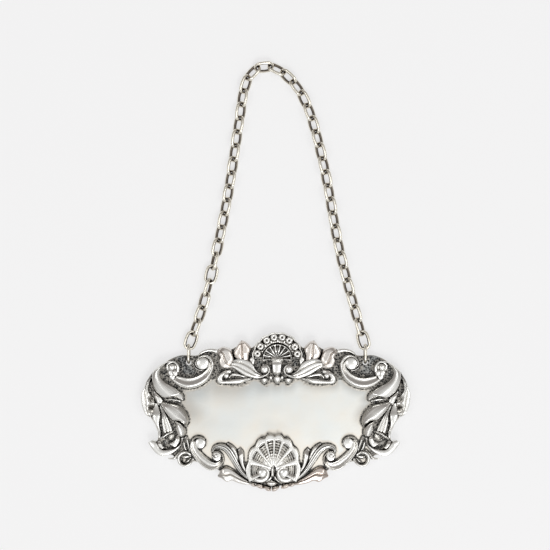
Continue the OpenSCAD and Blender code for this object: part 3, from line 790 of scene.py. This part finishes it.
SHELL_SIDES: list[Element] = [
    Strip([(6.70, -14.17), (5.67, -15.11), (4.39, -15.74), (3.07, -15.74), (2.04, -15.13),
           (1.54, -14.00), (1.76, -12.80), (2.66, -12.01), (3.68, -12.11), (4.39, -12.88)],
          [(5.84, -13.74), (4.99, -14.20), (4.13, -14.48), (3.27, -14.44), (2.72, -14.13),
           (2.45, -13.65), (2.52, -13.17), (2.84, -12.80), (3.36, -12.80), (3.75, -13.17)],
          Section.ROLL, 2.0, 0.6, 0.9, 0.2, along=100, across=20),
    Strip([(1.49, -13.91), (1.63, -14.60), (2.31, -15.23), (3.07, -15.85)],
          [(1.11, -14.00), (1.18, -14.89), (1.87, -15.50), (2.72, -16.02)],
          Section.ROLL, 1.3, 0.7, 0.5, 0.25, 40, 16),
    Boss((3.27, -13.48), 1.15, 2.2, crown=0.45),
    Strip([(4.95, -16.09), (3.96, -16.05), (2.86, -16.33)],
          [(4.64, -16.84), (3.75, -17.25), (2.90, -17.29)],
          Section.FOLD, 1.25, 0.5, 0.5, 0.3, 32, 20, tone=(0.6, 0.6)),
    Strip([(6.27, -15.85), (5.50, -15.81), (4.75, -16.09)],
          [(6.05, -16.40), (5.42, -16.77), (4.75, -16.84)],
          Section.FOLD, 1.15, 0.5, 0.5, 0.3, 28, 20, tone=(0.5, 0.6)),
]


@dataclass(frozen=True)
class Silver:
    """A silver finish: bright where it is rubbed, dark with sulphide where it isn't, and darkened with
    painted shade where parts meet and where its mask marks it.

    Attributes:
        name: Name of the material.
        bright: Colour of the rubbed metal.
        warm: Colour of thin yellow-brown tarnish.
        pink: Colour of the parts marked as toned.
        sulphide_and_shade: Colour of the black sulphide that stays in recesses, and of the painted shade.
        rubbed_roughness: Roughness of the rubbed metal.
        dull_roughness: Roughness of the tarnished metal.
        grain_mm: Size of the cast or drawn grain.
        tint: Range of shelter and cloud over which thin tarnish sets in.
        black: Range of shelter and cloud over which sulphide and painted shade set in.
        cloudy: Weight of the clouds beside the shelter.
        cloud_mm: Size of the clouds of tarnish.
        mask: Attribute that marks more darkening, if any: painted shade, and on the sheet also its punched
            ground and thin tarnish.
        mask_dark: How much darker the mask makes the metal.
        pit_mm: Size of the punched pits inside the mask, 0 for none.
        sway_mm: Depth of the slow waves in hammered sheet, drawn deep enough to show.
        wave_mm: Length of those waves.
        grain_deep_mm: Depth of the grain.
    """

    name: str
    bright: str
    warm: str
    pink: str
    sulphide_and_shade: str
    rubbed_roughness: float
    dull_roughness: float
    grain_mm: float
    tint: tuple[float, float] = (0.2, 0.7)
    cloud_mm: float = 2.2
    mask: str = ""
    mask_dark: float = 0.0
    pit_mm: float = 0.0
    sway_mm: float = 0.0
    wave_mm: float = 11.0
    grain_deep_mm: float = 0.02
    black: tuple[float, float] = (0.34, 0.62)
    cloudy: float = 0.3

    def punch(self, tree: bpy.types.NodeTree, mark: bpy.types.NodeSocket, height: bpy.types.NodeSocket,
              dark: bpy.types.NodeSocket) -> tuple[bpy.types.NodeSocket, bpy.types.NodeSocket]:
        """Punches pits into the marked ground and rubs the tarnish and painted shade off their rims in
        patches.

        Args:
            tree: Node tree of the material.
            mark: Mask of the punched ground and of the painted shade.
            height: Grain of the metal.
            dark: Sulphide and painted shade without the pits.

        Returns:
            Height and darkening with the pits.
        """
        place = add_node(tree, "ShaderNodeTexCoord", {}).outputs["Object"]
        pits = add_node(tree, "ShaderNodeTexVoronoi", {"Vector": place, "Scale": 1 / (self.pit_mm * MM)})
        crown = add_node(tree, "ShaderNodeMapRange",
                         {"Value": pits.outputs["Distance"], "From Min": 0.3, "From Max": 0.75})
        punched = add_node(tree, "ShaderNodeMapRange",
                           {"Value": mark, "From Min": 0.35, "From Max": 0.8})
        pitted = add_node(tree, "ShaderNodeMath",
                          {0: crown.outputs["Result"], 1: punched.outputs["Result"]},
                          operation="MULTIPLY").outputs[0]
        patchy = add_node(tree, "ShaderNodeMath", {0: pitted, 1: height},
                          operation="MULTIPLY").outputs[0]
        dark = add_node(tree, "ShaderNodeMath", {0: patchy, 1: -0.7, 2: dark},
                        operation="MULTIPLY_ADD", use_clamp=True).outputs[0]
        height = add_node(tree, "ShaderNodeMath", {0: pitted, 1: 4.0, 2: height},
                          operation="MULTIPLY_ADD").outputs[0]
        return height, dark

    def make(self) -> bpy.types.Material:
        """Makes the material.

        Returns:
            The material, which reads the attribute recess of its piece.
        """
        material = bpy.data.materials.new(self.name)
        material.use_nodes = True
        tree = material.node_tree
        shader = tree.nodes["Principled BSDF"]
        place = add_node(tree, "ShaderNodeTexCoord", {}).outputs["Object"]
        recess = add_node(tree, "ShaderNodeAttribute", {}, attribute_name="recess")
        cloud = add_node(tree, "ShaderNodeTexNoise",
                         {"Vector": place, "Scale": 1 / (self.cloud_mm * MM), "Detail": 3.0})
        grain = add_node(tree, "ShaderNodeTexNoise",
                         {"Vector": place, "Scale": 1 / (self.grain_mm * MM), "Detail": 4.0})
        # The recess darkens the metal: sulphide in the hollows, and painted shade where parts meet and where
        # links touch.
        uneven = add_node(tree, "ShaderNodeMath",
                          {0: cloud.outputs["Fac"], 1: self.cloudy, 2: recess.outputs["Fac"]},
                          operation="MULTIPLY_ADD").outputs[0]
        dark = add_node(tree, "ShaderNodeMapRange",
                        {"Value": uneven, "From Min": self.black[0], "From Max": self.black[1]},
                        interpolation_type="SMOOTHSTEP").outputs["Result"]
        height = grain.outputs["Fac"]
        # The mask adds painted shade: round the mounts on the sheet and on the insides of the links; on the
        # sheet it also marks the punched ground.
        if self.mask:
            mark = add_node(tree, "ShaderNodeAttribute", {}, attribute_name=self.mask).outputs["Fac"]
            dark = add_node(tree, "ShaderNodeMath", {0: mark, 1: self.mask_dark, 2: dark},
                            operation="MULTIPLY_ADD", use_clamp=True).outputs[0]
            if self.pit_mm:
                height, dark = self.punch(tree, mark, height, dark)
        tint = add_node(tree, "ShaderNodeMapRange",
                        {"Value": uneven, "From Min": self.tint[0], "From Max": self.tint[1],
                         "To Max": 0.9}).outputs["Result"]
        rubbed = add_node(tree, "ShaderNodeMix", {0: tint, 6: linear(self.bright), 7: linear(self.warm)},
                          data_type="RGBA").outputs[2]
        toned = add_node(tree, "ShaderNodeAttribute", {}, attribute_name="toned").outputs["Fac"]
        mellow = add_node(tree, "ShaderNodeMix", {0: toned, 6: rubbed, 7: linear(self.pink)},
                          data_type="RGBA").outputs[2]
        colour = add_node(tree, "ShaderNodeMix", {0: dark, 6: mellow, 7: linear(self.sulphide_and_shade)},
                          data_type="RGBA").outputs[2]
        rough = add_node(tree, "ShaderNodeMapRange",
                         {"Value": dark, "To Min": self.rubbed_roughness, "To Max": self.dull_roughness})
        relief = add_node(tree, "ShaderNodeBump",
                          {"Strength": 0.3, "Distance": self.grain_deep_mm * MM, "Height": height})
        if self.sway_mm:
            wave = add_node(tree, "ShaderNodeTexNoise",
                            {"Vector": place, "Scale": 1 / (self.wave_mm * MM), "Detail": 1.0})
            relief = add_node(tree, "ShaderNodeBump",
                              {"Strength": 1.0, "Distance": self.sway_mm * MM,
                               "Height": wave.outputs["Fac"], "Normal": relief.outputs["Normal"]})
        tree.links.new(colour, shader.inputs["Base Color"])
        tree.links.new(rough.outputs["Result"], shader.inputs["Roughness"])
        tree.links.new(relief.outputs["Normal"], shader.inputs["Normal"])
        shader.inputs["Metallic"].default_value = 1.0
        return material


# Sterling silver, cast and rubbed: soft bright highs, brown-black sulphide left in the hollows, and painted
# shade where parts meet.
CAST_SILVER = Silver("sterling_silver_cast_and_rubbed", "EDECE8", "DDD8D0", "C6B5AA", "26211C",
                     0.24, 0.5, 0.25)
# Sterling silver sheet: a polished middle with fine wear, a punched ground gone dark round it, and painted
# shade with thin tarnish beside the mounts.
# The real pits are about 0.3 mm wide, and are drawn at 0.42 mm so that they show.
SHEET_SILVER = Silver("sterling_silver_sheet_polished", "E5E9E8", "EBE4D8", "D0C8BE", "1D1F22",
                      0.29, 0.5, 1.2, tint=(0.09, 0.22), cloud_mm=9.0, mask="matted_and_shade", mask_dark=1.0,
                      pit_mm=0.42, sway_mm=0.12)
# Sterling silver wire, drawn and soldered into links: bright backs, and painted shade on the insides of the
# links and where they touch.
WIRE_SILVER = Silver("sterling_silver_drawn_wire", "F4EFE2", "DACDB8", "D0C0AC", "43352A",
                     0.2, 0.45, 0.2, mask="inside", mask_dark=0.9)


def finish_piece(piece: bpy.types.Object, body: str, node: str,
                 material: bpy.types.Material) -> None:
    """Gives a piece its finish and its place in the frame.

    Args:
        piece: The finished piece.
        body: CAD body that it rides on.
        node: CAD node that it stands for.
        material: Its finish.
    """
    deselect()
    piece.select_set(True)
    bpy.context.view_layer.objects.active = piece
    bpy.ops.object.shade_smooth_by_angle(angle=CREASE)
    piece.data.materials.clear()
    piece.data.materials.append(material)
    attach(piece, body)
    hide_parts(node)
    LOG.info("%s stands for %s with %d faces", piece.name, node, len(piece.data.polygons))


@dataclass
class Ornament:
    """One cast mount of the border.

    Attributes:
        node: CAD node that it stands for.
        paired: Elements built on each of the sides.
        sides: Halves of the label that it covers.
        middle: Elements built once, astride the middle line.
    """

    node: str
    paired: list[Element]
    sides: tuple[Side, ...]
    middle: Sequence[Element] = ()

    def build(self, drawing: Drawing) -> bpy.types.Object:
        """Models the mount as one piece.

        Args:
            drawing: The placed drawing.

        Returns:
            The finished mesh object.
        """
        parts = [element.build(drawing, side) for side in self.sides for element in self.paired]
        parts += [element.build(drawing, Side.MIDDLE) for element in self.middle]
        return join(f"{self.node}_mount", parts)

    def dress(self, mount: bpy.types.Object, material: bpy.types.Material) -> None:
        """Gives the mount its finish and its place on the label."""
        finish_piece(mount, "label", self.node, material)


@dataclass
class GroundPlate:
    """The thin plate under the border, with its foot and its two chain holes.

    Attributes:
        edge: Outline down one side, in drawing points.
        foot: Line of the foot down one side.
        foot_wide: Width of the foot.
        sheet: Thickness of the plate.
        hole: Diameter of a chain hole.
        hole_at: Place of a hole in the drawing.
        soft: Rounding of the edges.
        edge_steps: Steps of the outline down one side.
        foot_steps: Steps of the foot down one side.
        reserve_top: Height in the drawing of the reserve's upper edge.
        reserve_half: Half width of the reserve.
        shade: Depth of the painted shade, over thin tarnish, beside the mounts.
        far: Distance from the mounts beyond which no painted shade line or painted shade is marked.
    """

    edge: Points = (
        (-0.2, 17.0), (2.6, 16.6), (4.8, 14.9), (6.3, 14.1), (8.2, 14.9), (10.6, 13.8), (13.2, 13.6),
        (15.8, 13.4), (17.9, 12.6), (19.8, 12.6), (21.7, 12.6), (24.0, 11.7), (26.3, 10.0), (28.2, 7.4),
        (29.3, 4.6), (29.5, 1.8), (28.6, -0.8), (27.2, -3.2), (26.6, -5.6), (27.2, -7.6), (26.0, -9.3),
        (23.8, -9.7), (22.2, -10.6), (20.7, -11.8), (18.6, -11.2), (16.6, -11.9), (14.6, -12.2),
        (12.8, -13.4), (11.2, -14.7), (8.0, -15.7), (4.6, -16.2), (1.0, -17.0))
    foot: Points = (
        (-0.1, 15.0), (4.2, 13.2), (9.5, 12.4), (14.6, 12.0), (17.0, 10.2), (19.8, 9.0), (22.4, 9.3),
        (25.0, 8.6), (27.2, 6.2), (28.0, 3.0), (27.2, -0.6), (25.6, -4.0), (24.8, -7.2), (22.0, -8.8),
        (19.6, -10.0), (16.6, -10.5), (13.6, -11.4), (10.6, -13.2), (6.0, -14.8), (0.9, -15.5))
    foot_wide: float = 1.2
    sheet: float = 0.7
    hole: float = 1.2
    hole_at: tuple[float, float] = (19.8, 11.0)
    soft: float = 0.15
    edge_steps: int = 230
    foot_steps: int = 110
    reserve_top: float = 6.9
    reserve_half: float = 20.3
    shade: float = 0.42
    far: float = 7.0

    def outline(self, drawing: Drawing, points: Points, steps: int) -> np.ndarray:
        """Closes a line drawn down one side into an outline round both sides.

        Args:
            drawing: The placed drawing.
            points: The line down one side.
            steps: Steps down one side.

        Returns:
            Frame points in millimetres, the last one the same as the first.
        """
        line = smooth_line(points, steps)
        right = drawing.place(line, Side.RIGHT)
        left = drawing.place(line, Side.LEFT)[::-1]
        return np.concatenate([right, left[1:-1], right[:1]])

    def sheet_rings(self, drawing: Drawing) -> np.ndarray:
        """Lays out the plate as rings from the middle of its back to the middle of its front.

        Args:
            drawing: The placed drawing.

        Returns:
            Rings of frame points in metres.
        """
        rim = self.outline(drawing, self.edge, self.edge_steps)
        heart = np.array([drawing.middle_x, drawing.middle_y])
        front = drawing.face
        back = front - self.sheet
        # The back, the rounded edge and the front, which is finest where its ground is punched.
        rows = [(share, back) for share in np.linspace(0.02, 0.985, 12)]
        rows += [(0.996, back + 0.05), (1.0, back + self.soft)]
        rows += [(1.0, front - self.soft), (0.996, front - 0.04)]
        rows += [(share, front) for share in np.linspace(0.985, 0.5, 110)]
        rows += [(share, front) for share in np.linspace(0.48, 0.02, 10)]
        spokes = rim - heart
        rings = [np.column_stack([heart + share * spokes, np.full(len(rim), z)]) for share, z in rows]
        return np.array(rings) * MM

    def foot_rings(self, drawing: Drawing) -> np.ndarray:
        """Lays out the foot as rounded sections along its closed line.

        Args:
            drawing: The placed drawing.

        Returns:
            Sections in metres, the last the same as the first.
        """
        line = self.outline(drawing, self.foot, self.foot_steps)[:-1]
        run = np.roll(line, -1, axis=0) - np.roll(line, 1, axis=0)
        out = np.column_stack([-run[:, 1], run[:, 0]]) / np.linalg.norm(run, axis=1)[:, None]
        top = drawing.face - self.sheet / 2
        half = self.foot_wide / 2
        flat = half - self.soft
        shape = [(-half, top), (-half, self.soft), (-flat, 0.0), (flat, 0.0), (half, self.soft),
                 (half, top), (-half, top)]
        sections = [[(*(p + n * across), z) for across, z in shape] for p, n in zip(line, out)]
        return np.array(sections + sections[:1]) * MM

    def build(self, drawing: Drawing) -> bpy.types.Object:
        """Models the plate and drills its chain holes.

        Args:
            drawing: The placed drawing.

        Returns:
            The finished mesh object, which has lost its foot in the cut.
        """
        sheet = loft(self.sheet_rings(drawing))
        plate = join("ground_plate_sheet", [sheet, loft(self.foot_rings(drawing))])
        # Known fault: the cut drops the foot, because it overlaps the sheet. Joined after it, the foot stays.
        for side in (-1, 1):
            deselect()
            x = side * self.hole_at[0] + drawing.middle_x
            y = self.hole_at[1] + drawing.middle_y
            bpy.ops.mesh.primitive_cylinder_add(vertices=48, radius=self.hole / 2 * MM, depth=6 * MM,
                                                location=(x * MM, y * MM, 0))
            drill = bpy.context.object
            deselect()
            plate.select_set(True)
            bpy.context.view_layer.objects.active = plate
            bpy.ops.object.modifier_add(type="BOOLEAN")
            cut = plate.modifiers[-1]
            cut.operation = "DIFFERENCE"
            cut.object = drill
            cut.solver = "EXACT"
            bpy.ops.object.modifier_apply(modifier=cut.name)
            bpy.data.objects.remove(drill, do_unlink=True)
        return plate

    def mark_ground(self, plate: bpy.types.Object, drawing: Drawing,
                    mounts: Sequence[bpy.types.Object]) -> None:
        """Marks the punched ground, and the painted shade lines and painted shade with thin tarnish round the
        mounts, in one attribute.

        Args:
            plate: The plate.
            drawing: The placed drawing.
            mounts: The mounts on the plate.
        """
        tree = gather(mounts)
        co = np.zeros(len(plate.data.vertices) * 3, np.float32)
        plate.data.vertices.foreach_get("co", co)
        co = co.reshape(-1, 3) / MM
        x = co[:, 0] - drawing.middle_x
        y = co[:, 1] - drawing.middle_y
        # The upper edge of the reserve bends down towards its corners.
        above = ease((y - self.reserve_top + (np.abs(x) / 21) ** 6) / 0.5)
        outside = ease((np.abs(x) - self.reserve_half) / 1.2)
        hits = [tree.find_nearest(Vector(point) * MM, self.far * MM)[3] for point in co]
        gap = np.array([self.far if hit is None else hit / MM for hit in hits])
        # The painted shade lines round the mounts are wider at the top; the painted shade beside the mounts,
        # over thin tarnish, is darker towards the top and reaches farther on the left.
        high = ease((y + 9) / 8)
        wide = 0.3 + 0.3 * high
        painted_shade_line = 1 - ease((gap - 0.3 * wide) / (0.7 * wide))
        reach = 2.8 + 3.6 * ease((6 - x) / 18)
        shade = self.shade * ease((y + 5) / 5) * (1 - ease(gap / reach))
        front = co[:, 2] > drawing.face - 0.02
        # The punched ground, the painted shade lines and the painted shade go into one mark.
        values = np.where(front, np.max([above, outside, painted_shade_line, shade], axis=0), 0.0)
        mark_points(plate, "matted_and_shade", values)

    def dress(self, plate: bpy.types.Object) -> None:
        """Gives the plate its finish and its place on the label."""
        finish_piece(plate, "label", "ground_plate", SHEET_SILVER.make())


@dataclass
class Chain:
    """The loop of oval wire links.

    Attributes:
        bow: Radius of a bow at the middle of the wire.
        wire: Diameter of the wire.
        straight: Length that the sides add between the bows.
        belly: How far the sides bow out.
        part: How fast the two bows move apart from the middle of a side.
    """

    bow: float = 1.1
    wire: float = 0.7
    straight: float = 1.7
    belly: float = 0.08
    part: float = 2.2

    def model_link(self) -> bpy.types.Object:
        """Models one oval link in its own plane and marks its inside.

        Returns:
            The link, its length along X.
        """
        deselect()
        bpy.ops.mesh.primitive_torus_add(major_radius=self.bow * MM, minor_radius=self.wire / 2 * MM,
                                         major_segments=64, minor_segments=16)
        link = bpy.context.object
        inside = link.data.attributes.new("inside", "FLOAT", "POINT")
        # The mark of painted shade fades in from a little past the top of the wire towards its inside.
        past = 0.15
        fade = 0.7
        for vertex, mark in zip(link.data.vertices, inside.data):
            ring = Vector((vertex.co.x, vertex.co.y, 0)).normalized()
            mark.value = float(ease(np.array(past - vertex.normal.dot(ring)) / fade))
        half = self.straight / 2 * MM
        for vertex in link.data.vertices:
            share = min(1.0, abs(vertex.co.x) / (self.bow * MM))
            vertex.co.x += math.copysign(half, vertex.co.x) * ease(np.array(share * self.part))
            vertex.co.y += math.copysign(self.belly * MM, vertex.co.y) * (1 - share) ** 1.5
        return link

    def place(self, node: str, hinge: Sequence[float]) -> Matrix:
        """Reads where a link of the CAD model lies.

        Args:
            node: Name of the CAD node.
            hinge: Place of the hinge that carries it.

        Returns:
            The turn and shift that bring the modelled link there.
        """
        mesh = frame["nodes"][node].data
        co = np.zeros(len(mesh.vertices) * 3)
        mesh.vertices.foreach_get("co", co)
        co = co.reshape(-1, 3)
        middle = (co.min(axis=0) + co.max(axis=0)) / 2
        thin = np.linalg.eigh(np.cov((co - middle).T))[1][:, 0]
        length = middle - np.asarray(hinge)
        length -= thin * (length @ thin)
        length /= np.linalg.norm(length)
        turn = Matrix(np.column_stack([length, np.cross(thin, length), thin]).tolist())
        return Matrix.Translation(Vector(middle.tolist())) @ turn.to_4x4()

    def build(self, record: dict[str, Any]) -> dict[str, bpy.types.Object]:
        """Copies the modelled link to every place in the loop.

        Args:
            record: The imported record.

        Returns:
            Finished links, keyed by CAD node.
        """
        pattern = self.model_link()
        links = {}
        for joint in record["behaviour"]["joints"]:
            node = joint["child"]
            link = pattern.copy()
            link.data = pattern.data.copy()
            link.name = f"{node}_wire"
            link.data.transform(self.place(node, joint["pos_m"]))
            bpy.context.collection.objects.link(link)
            links[node] = link
        bpy.data.objects.remove(pattern, do_unlink=True)
        return links

    def dress(self, links: dict[str, bpy.types.Object]) -> None:
        """Gives every link its finish, and its own body to ride on.

        Args:
            links: Links, keyed by CAD node.
        """
        wire_finish = WIRE_SILVER.make()
        for node, link in links.items():
            finish_piece(link, node, node, wire_finish)


def mark_recesses(pieces: Sequence[bpy.types.Object], reach: float, rays: int) -> None:
    """Marks how enclosed each point is in the attribute recess, which darkens it as sulphide in the hollows
    and as painted shade where parts meet.

    Args:
        pieces: Pieces that shelter each other.
        reach: How far away metal still shelters a point, in metres.
        rays: Number of directions tried at each point.
    """
    tree = gather(pieces)
    skin = 0.02 * MM
    fade = 0.6
    golden = math.pi * (3 - math.sqrt(5))
    pattern = []
    for k in range(rays):
        lift = math.sqrt(1 - (k + 0.5) / rays)
        flat = math.sqrt(1 - lift * lift)
        pattern.append(Vector((flat * math.cos(golden * k), flat * math.sin(golden * k), lift)))
    for piece in pieces:
        values = np.zeros(len(piece.data.vertices))
        for i, vertex in enumerate(piece.data.vertices):
            turn = Vector((0, 0, 1)).rotation_difference(vertex.normal)
            start = vertex.co + vertex.normal * skin
            hits = 0.0
            for ray in pattern:
                distance = tree.ray_cast(start, turn @ ray, reach)[3]
                if distance is not None:
                    hits += 1 - fade * distance / reach
            values[i] = hits / rays
        mark_points(piece, "recess", values)


@dataclass
class Studio:
    """The pale table, the soft light and the camera straight above.

    Attributes:
        middle: Frame point at the middle of the picture, in millimetres.
        wide: Width of the picture on the label, in millimetres.
        lens: Focal length.
        sensor: Width of the camera's sensor.
        plane: Frame Z at which the picture has that width, in millimetres.
        table_wide: Width of the table, in metres.
        fibre_mm: Size of the faint clouds in the card.
        glow: Share of its own light in what the camera and the metal see of the table.
        key: Direction of the brightest part of the room.
        room: Grey of the room from its far side to its brightest, each with its place.
        lamps: Name, direction and power of each soft lamp.
        lamp_about: Frame point that the lamps stand round, in metres.
        lamp_far: Distance of the lamps, in metres.
        lamp_wide: Width of a lamp, in metres.
    """

    middle: tuple[float, float] = (0.51, 46.1)
    wide: float = 123.2
    lens: float = 100.0
    sensor: float = 36.0
    plane: float = 2.0
    table_wide: float = 3.0
    fibre_mm: float = 40.0
    glow: float = 0.6
    key: tuple[float, float, float] = (0.14, -0.47, 0.87)
    room: tuple[tuple[float, tuple[float, float, float]], ...] = (
        (0.0, (0.3, 0.28, 0.27)), (0.3, (0.37, 0.35, 0.34)), (0.55, (0.49, 0.48, 0.47)),
        (0.75, (0.64, 0.64, 0.64)), (0.87, (0.72, 0.72, 0.72)), (1.0, (1.0, 1.0, 1.0)))
    lamps: tuple[tuple[str, tuple[float, float, float], float], ...] = (
        ("front_lamp", (0.12, -0.48, 0.87), 1.1),
        ("left_lamp", (-0.45, 0.0, 0.89), 0.4),
        ("right_lamp", (0.45, 0.0, 0.89), 0.5))
    lamp_about: tuple[float, float, float] = (0.0, 0.04, 0.0)
    lamp_far: float = 0.8
    lamp_wide: float = 0.28

    def lay_table(self, low: float) -> None:
        """Lays the pale table under the object.

        Args:
            low: Frame Z of the table top.
        """
        deselect()
        bpy.ops.mesh.primitive_plane_add(size=self.table_wide, location=(0, 0, low))
        table = bpy.context.object
        table.name = "table"
        paper = bpy.data.materials.new("matt_white_card")
        paper.use_nodes = True
        tree = paper.node_tree
        shader = tree.nodes["Principled BSDF"]
        place = add_node(tree, "ShaderNodeTexCoord", {})
        fibre = add_node(tree, "ShaderNodeTexNoise",
                         {"Vector": place.outputs["Object"], "Scale": 1 / (self.fibre_mm * MM)})
        tone = add_node(tree, "ShaderNodeMix",
                        {0: fibre.outputs["Fac"], 6: linear("F8F8F7"), 7: linear("FAFAFA")},
                        data_type="RGBA")
        tree.links.new(tone.outputs[2], shader.inputs["Base Color"])
        shader.inputs["Roughness"].default_value = 0.8
        shader.inputs["Specular IOR Level"].default_value = 0.2
        path = add_node(tree, "ShaderNodeLightPath", {})
        seen = add_node(tree, "ShaderNodeMath",
                        {0: path.outputs["Is Camera Ray"], 1: path.outputs["Is Glossy Ray"]},
                        operation="MAXIMUM")
        share = add_node(tree, "ShaderNodeMath", {0: seen.outputs[0], 1: self.glow},
                         operation="MULTIPLY")
        glow = add_node(tree, "ShaderNodeEmission", {"Color": linear("FBFBFC")})
        lit = add_node(tree, "ShaderNodeMixShader",
                       {0: share.outputs[0], 1: shader.outputs[0], 2: glow.outputs[0]})
        tree.links.new(lit.outputs[0], tree.nodes["Material Output"].inputs["Surface"])
        table.data.materials.append(paper)

    def light(self) -> None:
        """Sets a soft room, brightest on one side, and soft lamps close round the camera."""
        world = bpy.data.worlds.new("soft_room")
        bpy.context.scene.world = world
        world.use_nodes = True
        tree = world.node_tree
        ground = tree.nodes["Background"]
        place = add_node(tree, "ShaderNodeTexCoord", {})
        facing = add_node(tree, "ShaderNodeVectorMath", {0: place.outputs["Generated"], 1: self.key},
                          operation="DOT_PRODUCT")
        ramp = add_node(tree, "ShaderNodeValToRGB", {"Fac": facing.outputs["Value"]})
        stops = ramp.color_ramp.elements
        for position, _ in self.room[1:-1]:
            stops.new(position)
        for stop, (_, colour) in zip(stops, self.room):
            stop.color = (*colour, 1)
        tree.links.new(ramp.outputs["Color"], ground.inputs["Color"])
        for name, aim, power in self.lamps:
            deselect()
            spot = Vector(self.lamp_about) + Vector(aim) * self.lamp_far
            bpy.ops.object.light_add(type="AREA", location=spot)
            lamp = bpy.context.object
            lamp.name = name
            lamp.data.shape = "DISK"
            lamp.data.size = self.lamp_wide
            lamp.data.energy = power
            lamp.rotation_euler = Vector(aim).to_track_quat("Z", "Y").to_euler()

    def set_camera(self) -> None:
        """Hangs the camera straight above the picture's middle."""
        deselect()
        height = self.wide * self.lens / self.sensor + self.plane
        bpy.ops.object.camera_add(location=(self.middle[0] * MM, self.middle[1] * MM, height * MM),
                                  rotation=(0, 0, 0))
        camera = bpy.context.object
        camera.data.lens = self.lens
        camera.data.sensor_width = self.sensor
        camera.data.dof.use_dof = False
        bpy.context.scene.camera = camera
        bpy.context.scene.view_settings.view_transform = "Standard"


def main() -> None:
    """Builds the studio, the label and the chain in order."""
    logging.basicConfig(level=logging.INFO, format="%(name)s: %(message)s")
    studio = Studio()
    studio.set_camera()
    chain = Chain()
    studio.lay_table(cad_box[0].z - chain.belly * MM)
    studio.light()
    drawing = Drawing.from_record(frame["record"])
    ornaments = [Ornament("crest_shell", CREST_SIDES, (Side.LEFT, Side.RIGHT), CREST_MIDDLE),
                 Ornament("lower_shell", SHELL_SIDES, (Side.LEFT, Side.RIGHT), SHELL_MIDDLE)]
    for side, hand in ((Side.LEFT, "left"), (Side.RIGHT, "right")):
        for kind, elements in (("upper_scroll", UPPER_SCROLL), ("side_leaf", SIDE_LEAF),
                               ("lower_scroll", LOWER_SCROLL), ("top_spray", TOP_SPRAY),
                               ("bottom_spray", BOTTOM_SPRAY)):
            ornaments.append(Ornament(f"{hand}_{kind}", elements, (side,)))
    ground = GroundPlate()
    plate = ground.build(drawing)
    mounts = [ornament.build(drawing) for ornament in ornaments]
    ground.mark_ground(plate, drawing, mounts)
    links = chain.build(frame["record"])
    mark_recesses([plate, *mounts, *links.values()], reach=0.9 * MM, rays=16)
    ground.dress(plate)
    cast_finish = CAST_SILVER.make()
    for ornament, mount in zip(ornaments, mounts):
        ornament.dress(mount, cast_finish)
    chain.dress(links)


if __name__ == "__main__":
    main()
